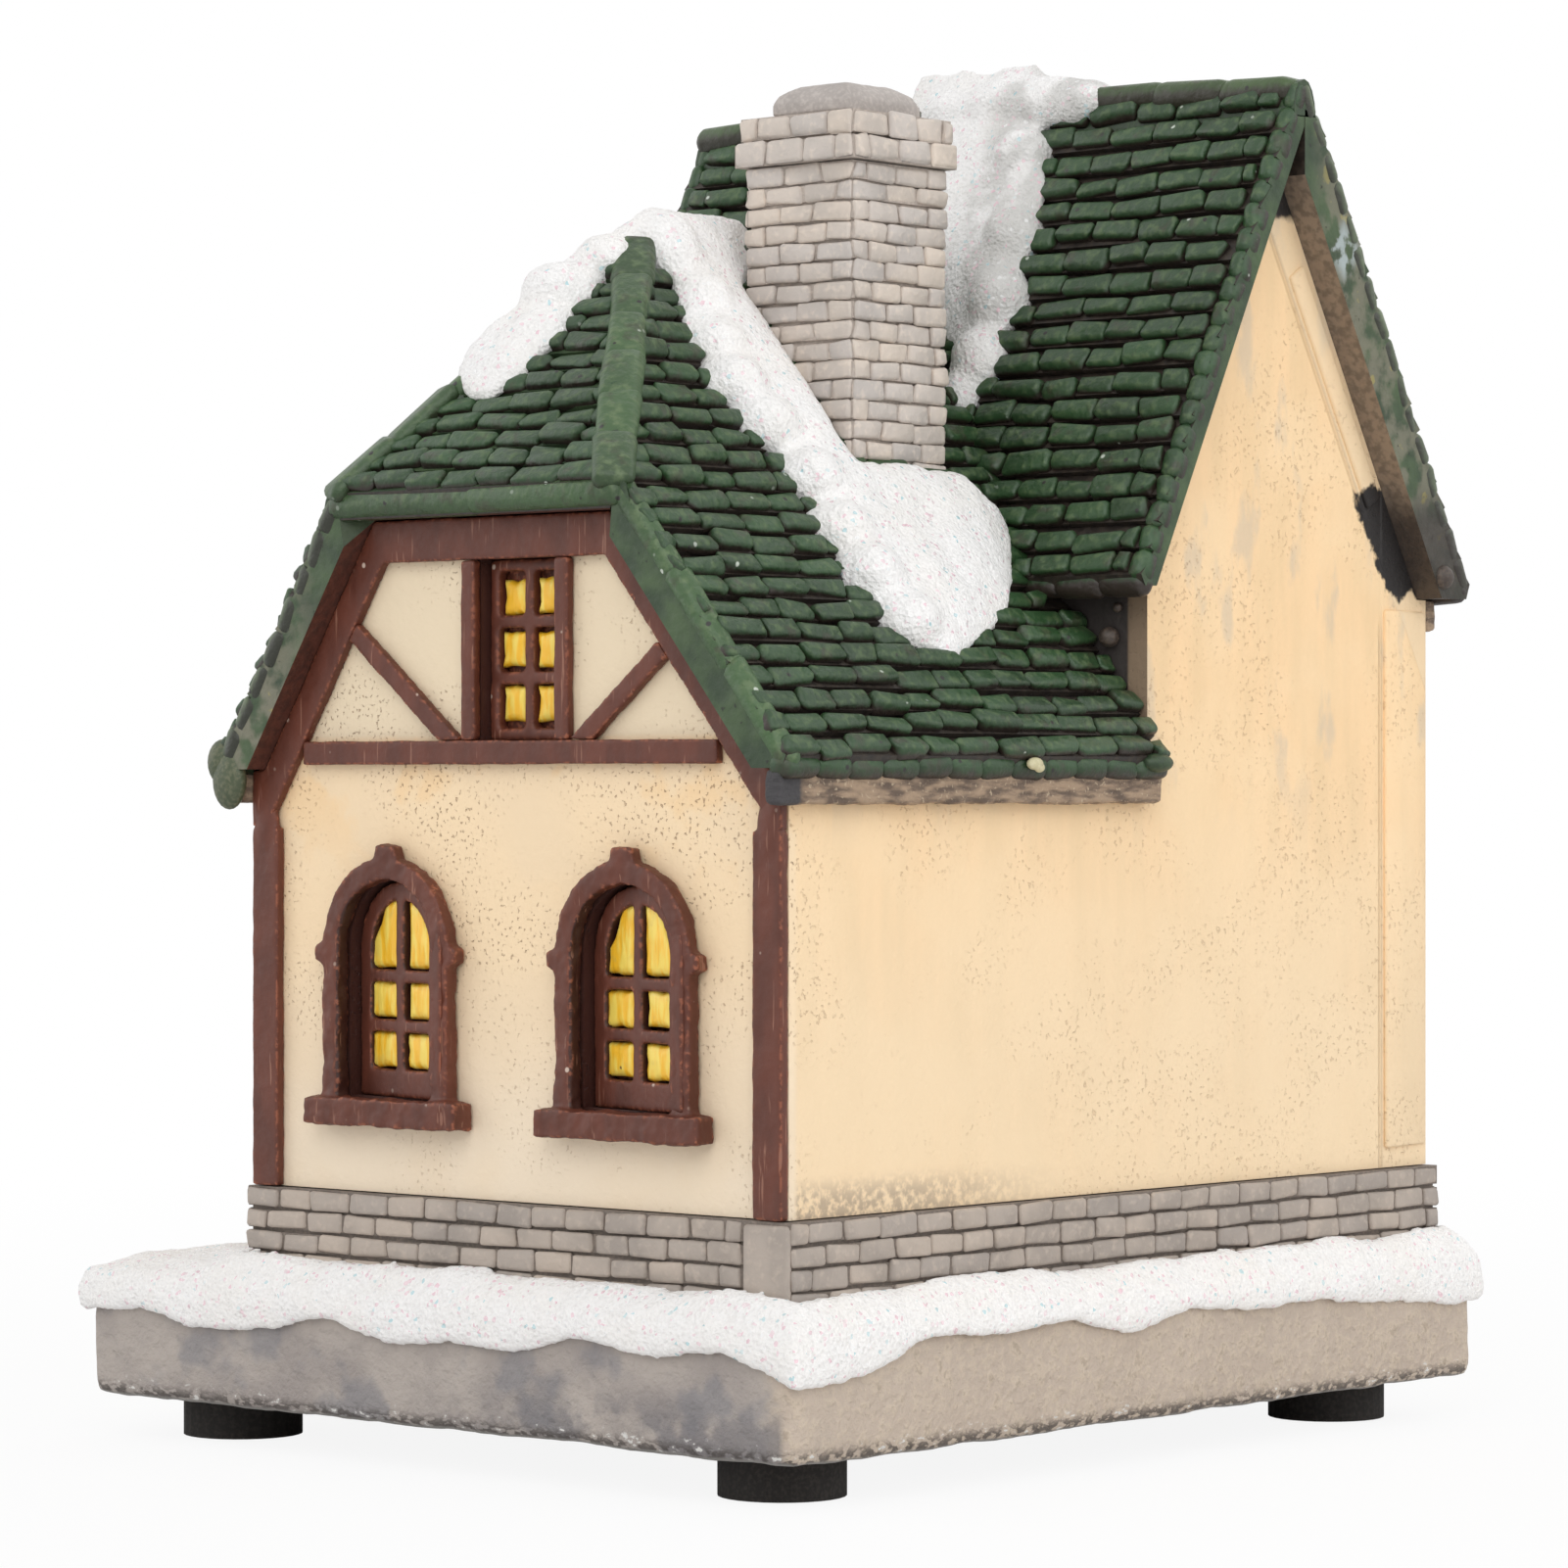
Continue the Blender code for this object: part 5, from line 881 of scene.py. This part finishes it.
def plinth_bricks(finish):
    low, high = corners_mm("brick_plinth")
    wing_left = corner_mm("corner_post_left", 0).x - 0.7
    notch = main_front - 0.7
    course = (high.z - low.z + 0.1) / PLINTH_COURSES
    faces = [
        ((wing_left, low.y, 0), (high.x - QUOIN, low.y, 0), (0, -1, 0)),
        ((high.x, low.y, 0), (high.x, high.y, 0), (1, 0, 0)),
        ((low.x, high.y, 0), (high.x, high.y, 0), (0, 1, 0)),
        ((low.x, notch, 0), (low.x, high.y, 0), (-1, 0, 0)),
        ((low.x, notch, 0), (wing_left, notch, 0), (0, -1, 0)),
        ((wing_left, low.y, 0), (wing_left, notch, 0), (-1, 0, 0)),
    ]
    door_start, door_end = corner_mm("door_surround", 0).y - 0.3, corner_mm("door_surround", 1).y + 0.3
    places = []
    for seed, face in enumerate(faces):
        run = brick_run(*face, high.z - PLINTH_COURSES * course, PLINTH_COURSES, course, PLINTH_BRICK, seed)
        if seed == 3:
            run = [found for found in run if not door_start < found[0].translation.y < door_end]
        places += run
    pattern = pillow_pattern(PLINTH_BRICK, course - 0.2, 0.62, 0.3)
    copies("plinth_bricks", pattern, places, finish, wobble=0.16, foot=0.45, loose=1.3)
    # The corner towards the camera is one smooth block
    pattern = pillow_pattern(QUOIN - 0.2, high.z - low.z - 0.5, 0.62, 0.28)
    corner = Matrix.Translation((high.x - QUOIN / 2 + 0.1, low.y + BRICK_BED, (low.z + high.z) / 2))
    copies("plinth_quoin", pattern, [(corner @ turned(90, "X"), 0.5)], finish, foot=-1.0)


def four_sides(low, high, inset=0.0):
    """Start, end and way out of each upright side of a box."""
    left, front, right, back = low.x + inset, low.y + inset, high.x - inset, high.y - inset
    return [
        ((left, front, 0), (right, front, 0), (0, -1, 0)),
        ((right, front, 0), (right, back, 0), (1, 0, 0)),
        ((left, back, 0), (right, back, 0), (0, 1, 0)),
        ((left, front, 0), (left, back, 0), (-1, 0, 0)),
    ]


def chimney_bricks(finish):
    low, high = corners_mm("chimney_shaft")
    foot = high.z - CHIMNEY_COURSES * CHIMNEY_COURSE
    pattern = pillow_pattern(CHIMNEY_BRICK, CHIMNEY_COURSE - 0.1, 0.66, 0.3)
    places = []
    for seed, side in enumerate(four_sides(low, high)):
        places += brick_run(*side, foot, CHIMNEY_COURSES, CHIMNEY_COURSE, CHIMNEY_BRICK, 40 + seed)
    copies("chimney_bricks", pattern, places, finish, wobble=0.26, foot=0.4, loose=1.3)
    low, high = corners_mm("chimney_crown")
    pattern = pillow_pattern(CHIMNEY_BRICK, CROWN_COURSE - 0.1, 0.72, 0.36)
    places = []
    for index, inset in ((0, 0.0), (1, 0.35)):
        for seed, side in enumerate(four_sides(low, high, inset)):
            foot = low.z + CROWN_COURSE * index
            places += brick_run(*side, foot, 1, CROWN_COURSE, CHIMNEY_BRICK, 60 + seed + index)
    copies("chimney_crown_bricks", pattern, places, finish, wobble=0.3, foot=0.4, loose=1.3)


# Small pieces


def knobs(name, places, finish):
    """Small lumps left by the mould, each a centre and how far it reaches along each axis."""
    piece = ball(*places[0])
    piece.name = name
    join_heaps(piece, places[1:])
    bpy.ops.object.transform_apply(location=True, rotation=True, scale=True)
    bpy.ops.object.shade_smooth()
    show(piece, finish)


def side_mouldings(finish):
    """The raised band under the rear verge and the one down the back corner, worn soft."""
    out = Vector((1, 0, 0))
    for name, start, end, width in (
        ("verge_moulding", (22.6, 97.6), (33.6, 78.6), 2.0),
        ("corner_moulding", (38.3, 23.4), (38.3, 69.5), 6.0),
    ):
        start, end = Vector((wall_right, *start)), Vector((wall_right, *end))
        way = (end - start).normalized()
        pattern = pillow_pattern(width, (end - start).length, 0.5, 0.24)
        sunk = Matrix.Translation((start + end) / 2 - out * 0.15)
        laid = sunk @ directions(way.cross(out), way, out)
        copies(name, pattern, [(laid, 0.5)], finish, wobble=0.2, loose=3.0)


# Windows

# A sash's lower rail, and its bars
SASH_RAIL = 1.3
SASH_BAR = 0.9
# A pane's rings from its back to its middle: inset from its outline, depth behind the sash's face, and crown
PANE_RINGS = ((0.0, 1.05, 0.0), (0.05, 0.55, 0.25), (0.35, 0.3, 0.8), (0.75, 0.22, 1.0))


def arch_rows(low, high):
    """Lower and upper edge of three panes under an arch."""
    first = low + 2.1
    return [(first, first + 3.3), (first + 4, first + 7.3), (first + 8, high - 1.1)]


def square_rows(low, high):
    """The same for three panes of one height."""
    clear = (high - low - 2 * SASH_RAIL - 2 * SASH_BAR) / 3
    edges = [low + SASH_RAIL + k * (clear + SASH_BAR) for k in range(3)]
    return [(edge, edge + clear) for edge in edges]


def pane_outline(left, right, low, high, cut_left, cut_right):
    """A pane's four or five corners, its outer upper corner cut off under an arch."""
    points = [(left, low), (right, low)]
    points += [(right, high - cut_right), (right - cut_right * 0.55, high)] if cut_right else [(right, high)]
    points += [(left + cut_left * 0.55, high), (left, high - cut_left)] if cut_left else [(left, high)]
    return points


def pane_ring(outline, inset, seed):
    """Points round a pane, this far in from its outline and uneven as brushed by hand."""
    centre = Vector((sum(u for u, _ in outline) / len(outline), sum(v for _, v in outline) / len(outline)))
    ring = []
    for a, b in zip(outline, outline[1:] + outline[:1]):
        for k in range(4):
            point = Vector(a).lerp(Vector(b), k / 4)
            wave = noise.noise(Vector((point.x * 1.3, point.y * 1.3, seed))) * 0.22
            ring.append(point + (centre - point).normalized() * (inset + wave * (1 if inset < 0.5 else 0.4)))
    return ring


def glowing_panes(name, node, wall, arched, finish, seed):
    """Six blobs of yellow enamel in a sash's openings."""
    chance = random.Random(seed)
    low, high = corners_mm(node + "_sash")
    across = 0 if wall == "front" else 1
    middle = (low[across] + high[across]) / 2
    half = (high[across] - low[across]) / 2
    face = low[1 - across]
    bm = bmesh.new()
    crown = bm.verts.layers.float.new("crown")
    shade = bm.verts.layers.float.new("shade")
    rows = arch_rows if arched else square_rows
    for side in (-1, 1):
        for base, top in rows(low.z, high.z):
            left, right = sorted((middle + side * 0.42, middle + side * (half - 0.85)))
            left += chance.uniform(0.0, 0.35)
            right -= chance.uniform(0.0, 0.15)
            cut = (top - base) * 0.62 if arched and top > high.z - 3 else 0.0
            outline = pane_outline(
                left, right, base + chance.uniform(0.1, 0.3), top - chance.uniform(0.1, 0.3),
                cut if side < 0 else 0.0, cut if side > 0 else 0.0,
            )
            rings = []
            for inset, depth, height in PANE_RINGS:
                rings.append([])
                for u, v in pane_ring(outline, inset, seed):
                    place = Vector((u, face + depth, v)) if wall == "front" else Vector((face + depth, u, v))
                    if arched and wall == "front":
                        place = skewed(place, low, high)
                    vertex = bm.verts.new(place * MM)
                    vertex[crown] = height
                    vertex[shade] = chance.random()
                    rings[-1].append(vertex)
            for outer, inner in zip(rings, rings[1:]):
                for k in range(len(outer)):
                    further = (k + 1) % len(outer)
                    bm.faces.new((outer[k], outer[further], inner[further], inner[k]))
            bm.faces.new(rings[-1])
            bm.faces.new(rings[0][::-1])
    bmesh.ops.recalc_face_normals(bm, faces=bm.faces)
    mesh = bpy.data.meshes.new(name)
    bm.to_mesh(mesh)
    bm.free()
    mesh.shade_smooth()
    show(add(name, mesh), finish)


# Light, floor and camera

CAMERA_PLACE = (310.4, -350.4, 54.6)
CAMERA_AIM = (-0.6642, 0.7476, 0)
PHOTO_WIDTH = 1601
FOCAL_PIXELS = 5600
SENSOR_WIDTH = 36
# Place in metres, power and size of each lamp
LAMPS = {
    "key": ((0.55, -0.75, 0.75), 5.2, 0.9),
    "fill": ((-0.85, -0.55, 0.45), 2.2, 0.9),
    "right": ((0.9, 0.25, 0.5), 2.6, 0.8),
    "back": ((-0.2, 0.9, 0.8), 2.0, 0.9),
}


def aimed(direction):
    return Vector(direction).to_track_quat("-Z", "Y").to_euler()


def studio():
    lens = bpy.data.cameras.new("camera")
    lens.sensor_width = SENSOR_WIDTH
    lens.lens = SENSOR_WIDTH * FOCAL_PIXELS / PHOTO_WIDTH
    lens.clip_start = 0.01
    camera = add("camera", lens)
    camera.location = Vector(CAMERA_PLACE) * MM
    camera.rotation_euler = aimed(CAMERA_AIM)
    bpy.context.scene.camera = camera
    for name, (place, power, size) in LAMPS.items():
        lamp = bpy.data.lights.new(name, "AREA")
        lamp.energy = power
        lamp.size = size
        light = add(name, lamp)
        light.location = place
        light.rotation_euler = aimed(Vector((0, 0, 0.05)) - Vector(place))
    # The world lights at half strength, and is white to the camera and in reflections
    world = bpy.data.worlds.new("studio")
    bpy.context.scene.world = world
    world.use_nodes = True
    sky = Nodes(world.node_tree)
    background = sky.tree.nodes["Background"].inputs
    sky.feed(background["Color"], (1, 1, 1, 1))
    seen = sky.node("LightPath", out="Is Camera Ray").larger(sky.node("LightPath", out="Is Glossy Ray"))
    sky.feed(background["Strength"], sky.node("MapRange", {}, {"Value": seen, "To Min": 0.5, "To Max": 1.0}))
    # The floor fades to white away from the house, and isn't there when seen from below
    bpy.ops.mesh.primitive_plane_add(size=6, location=(0, 0, -0.1 * MM))
    floor = bpy.context.object
    floor.name = "floor"
    pale = Finish("floor_pale")
    pale.feed(pale.shader.inputs["Base Color"], (0.86, 0.86, 0.86, 1))
    pale.feed(pale.shader.inputs["Roughness"], 0.9)
    away = pale.node("VectorMath", {"operation": "LENGTH"}, {0: pale.place}, "Value")
    white = pale.node("MapRange", {}, {"Value": away, "From Min": 50, "From Max": 300, "To Min": 0.9})
    white = white * pale.node("LightPath", out="Is Camera Ray")
    lit = Signal(pale, pale.shader.outputs[0])
    above = pale.node("MixShader", {}, {0: white, 1: lit, 2: pale.node("Emission")})
    below = pale.node("NewGeometry", out="Backfacing")
    either = pale.node("MixShader", {}, {0: below, 1: above, 2: pale.node("BsdfTransparent")})
    pale.feed(pale.tree.nodes["Material Output"].inputs["Surface"], either)
    floor.data.materials.append(pale.material)
    bpy.context.scene.view_settings.view_transform = "Standard"


# The whole house

# Size and depth of the waves on the snow
SNOW_LUMPS = ((4, 0.5), (1.1, 0.2), (0.4, 0.13))
# Where the snow bulges past its bed: centre, and how far it reaches along each axis
WING_HEAPS = (
    ((5.4, -21.0, 97.6), (2.4, 2.4, 2.2)), ((8.6, -20.8, 93.9), (2.4, 2.4, 2.2)),
    ((11.5, -22.6, 90.0), (2.6, 2.6, 2.2)), ((14.2, -23.6, 86.6), (2.8, 2.8, 2.3)),
    ((17.0, -22.6, 83.2), (2.8, 2.8, 2.4)), ((20.6, -21.4, 78.9), (2.8, 2.8, 2.4)),
    ((24.0, -21.6, 74.6), (2.8, 2.8, 2.4)), ((27.0, -21.6, 71.0), (2.8, 2.8, 2.4)),
    ((29.8, -20.6, 67.4), (2.8, 2.8, 2.4)), ((0.4, -34.6, 87.6), (2.2, 2.2, 2.0)),
    ((1.2, -31.6, 90.6), (2.4, 2.4, 2.0)), ((1.6, -28.4, 94.0), (2.4, 2.4, 2.0)),
    ((2.6, -25.6, 97.2), (2.3, 2.3, 2.0)), ((-2.6, -33.4, 88.6), (2.4, 2.4, 2.2)),
    ((0.4, -29.4, 94.6), (2.6, 2.6, 2.2)), ((4.2, -21.0, 99.0), (2.6, 2.6, 2.2)),
    ((3.4, -17.0, 99.2), (2.6, 2.6, 2.0)),
)
MAIN_HEAPS = (
    ((2.0, 20.6, 113.4), (4.0, 3.0, 2.0)), ((7.0, 20.6, 113.6), (4.6, 3.2, 2.2)),
    ((12.0, 20.4, 113.4), (4.6, 3.2, 2.2)), ((16.0, 20.4, 113.2), (3.0, 2.8, 1.8)),
    ((11.4, 17.2, 108.4), (2.6, 2.6, 2.6)), ((13.4, 13.6, 101.0), (2.6, 2.6, 2.8)),
    ((14.4, 10.6, 95.4), (2.6, 2.6, 2.8)), ((14.2, 8.2, 90.4), (2.4, 2.4, 2.6)),
    ((13.4, 6.4, 87.2), (1.8, 1.8, 2.2)),
)
# The same where the posts run into the rafters
HAUNCHES = {
    "corner_post_left": (((-20.3, -42.0, 51.0), (1.3, 0.55, 3.0)), ((-20.9, -42.0, 53.0), (0.8, 0.5, 3.0))),
    "corner_post_right": (((35.1, -42.0, 51.0), (1.3, 0.55, 3.0)), ((35.6, -42.0, 53.0), (0.8, 0.5, 3.0))),
}
# The same for the lumps that the mould left
WALL_KNOBS = (
    ((32.9, 1.9, 66.6), (0.85, 0.9, 0.85)), ((33.6, 2.1, 69.0), (0.4, 0.4, 0.4)),
    ((38.8, 40.6, 72.4), (1.1, 1.1, 1.1)),
)
EAVE_END = (((38.6, 0.8, 56.3), (1.2, 1.7, 0.8)),)
EAVE_SPOT = (((39.05, -15.3, 56.2), (0.45, 0.9, 0.5)), ((39.0, -14.7, 55.9), (0.4, 0.5, 0.4)))
VERGE_FOOT = (((-22.7, -44.0, 54.9), (1.8, 0.9, 2.4)), ((-23.9, -43.6, 56.4), (1.4, 1.2, 1.9)))

snow = snow_finish()
tile = tile_finish("tile_green", (46, 37, 31), (38, 64, 36), (92, 112, 74), 0.6)
sage = tile_finish("cap_green", (46, 46, 34), (54, 78, 46), (104, 122, 86), 0.7)
olive = tile_finish("ridge_olive", (44, 42, 30), (56, 74, 42), (92, 108, 70), 0.5)
weathered = tile_finish("verge_weathered", (44, 46, 36), (84, 96, 72), (150, 150, 128), 0.9)
timber = timber_finish()
stucco = stucco_finish()
brick = brick_finish("plinth_grey", (170, 160, 152), (190, 176, 163), (136, 124, 114))
chimney = brick_finish("chimney_grey", (204, 196, 190), (222, 208, 194), (184, 174, 165))
brick_joint = moulded_finish("plinth_joint", (118, 108, 100), (140, 128, 118), 0.8)
chimney_joint = moulded_finish("chimney_joint", (178, 167, 158), (198, 186, 176), 0.8)
flue = moulded_finish("flue_grey", (178, 170, 165), (196, 188, 182), 0.7)
# Dark brown for the lumps on the walls
knob_dark = moulded_finish("knob_brown", (66, 56, 50), (92, 80, 70), 0.5)
mossy = moulded_finish("verge_olive", (70, 80, 56), (104, 106, 82), 0.5)
cream = moulded_finish("paint_cream", (206, 198, 158), (222, 214, 178), 0.5)
stone = stone_finish()
board = board_finish()
pane = pane_finish()
foam = moulded_finish("foam_black", (38, 35, 33), (58, 53, 50), 0.9)
plastic = moulded_finish("plastic_black", (26, 26, 28), (40, 40, 42), 0.45)
green_board = moulded_finish("circuit_green", (26, 84, 50), (44, 110, 70), 0.5)
flat_green = moulded_finish("ridge_bed_green", (40, 58, 36), (56, 76, 48), 0.5)
lens_clear = moulded_finish("lens_warm", (255, 232, 184), (255, 244, 214), 0.2)
steel = steel_finish()

for finish, names in (
    (foam, [node for node in nodes if node.startswith("foot_")]),
    (timber, [node for node in nodes if node.endswith("_panes")]),
    (stucco, ["house_walls"]),
    (brick_joint, ["brick_plinth"]),
    (chimney_joint, ["chimney_shaft", "chimney_crown"]),
    (flat_green, ["wing_ridge_cap", "main_ridge_cap", "hip_cap_left", "hip_cap_right"]),
    (plastic, ["light_housing", "battery_door", "switch_slider"]),
    (green_board, ["circuit_board"]),
    (lens_clear, ["led"]),
    (steel, ["coin_cell", "contact_negative", "contact_positive", "door_screw"]),
):
    paint_nodes(names, finish)
brown, taupe = (94, 54, 42), (136, 120, 104)
for node, name, along, inward, soffit in (
    ("wing_roof_right", "wing_right_roof", "Y", ("X", -1), brown),
    ("wing_roof_left", "wing_left_roof", "Y", ("X", 1), brown),
    ("wing_hip", "hip_roof", "Z", ("Y", 1), brown),
    ("main_roof_front", "main_front_roof", "X", ("Y", 1), taupe),
    ("main_roof_back", "main_back_roof", "X", ("Y", -1), taupe),
):
    paint_nodes([node], roof_finish(name, along, inward, soffit))

tile_roofs(tile)
ridge_tiles(tile, sage, olive, weathered)
plinth_bricks(brick)
side_mouldings(stucco)
chimney_bricks(chimney)

for node in (
    "corner_post_left", "corner_post_right", "gable_rafters", "tie_beam", "attic_stud_left",
    "attic_stud_right", "brace_left", "brace_right", "side_gable_timbers", "door_leaf", "attic_window_sash",
    "side_attic_window_sash", "front_window_left_sash", "front_window_right_sash", "side_window_sash",
):
    broad = 0.14 if node.endswith("_sash") else 0.07
    skew = node.startswith("front_window")
    cast(node, timber, ((2.2, 0.16),), grow=broad, heaps=HAUNCHES.get(node, ()), skew=skew)
for opening in ("front_window_left", "front_window_right", "side_window", "door"):
    cast(opening + "_surround", timber, ((2.4, 0.4), (0.9, 0.22)), grow=-0.15, soften=6)
knobs("wall_knobs", WALL_KNOBS, knob_dark)
knobs("eave_end", EAVE_END, flat_green)
knobs("eave_spot", EAVE_SPOT, cream)
knobs("verge_foot", VERGE_FOOT, mossy)
cast("chimney_flue", flue, ((2.5, 0.2),), grow=-0.2, soften=3)
for side in ("right", "left", "rear"):
    cast("eave_board_" + side, board, ((1.2, 0.35),), cell=0.25)
cast("base_slab", stone, ((6, 0.5), (1.6, 0.15)), cell=0.6)
cast("door_step", stone, ((2.5, 0.3),))
cast("base_snow", snow, SNOW_LUMPS, "_drift", cell=0.4, grow=0.2, soften=6)
for node, heaps in (("wing_snow", WING_HEAPS), ("main_roof_snow", MAIN_HEAPS)):
    cast(node, snow, SNOW_LUMPS, "_drift", cell=0.32, grow=0.35, soften=18, heaps=heaps)

for name, node, wall, arched, seed in (
    ("left_window", "front_window_left", "front", True, 3),
    ("right_window", "front_window_right", "front", True, 5),
    ("side_window", "side_window", "side", True, 7),
    ("attic_window", "attic_window", "front", False, 9),
    ("side_attic_window", "side_attic_window", "side", False, 13),
):
    glowing_panes(name + "_glow", node, wall, arched, pane, seed)

studio()
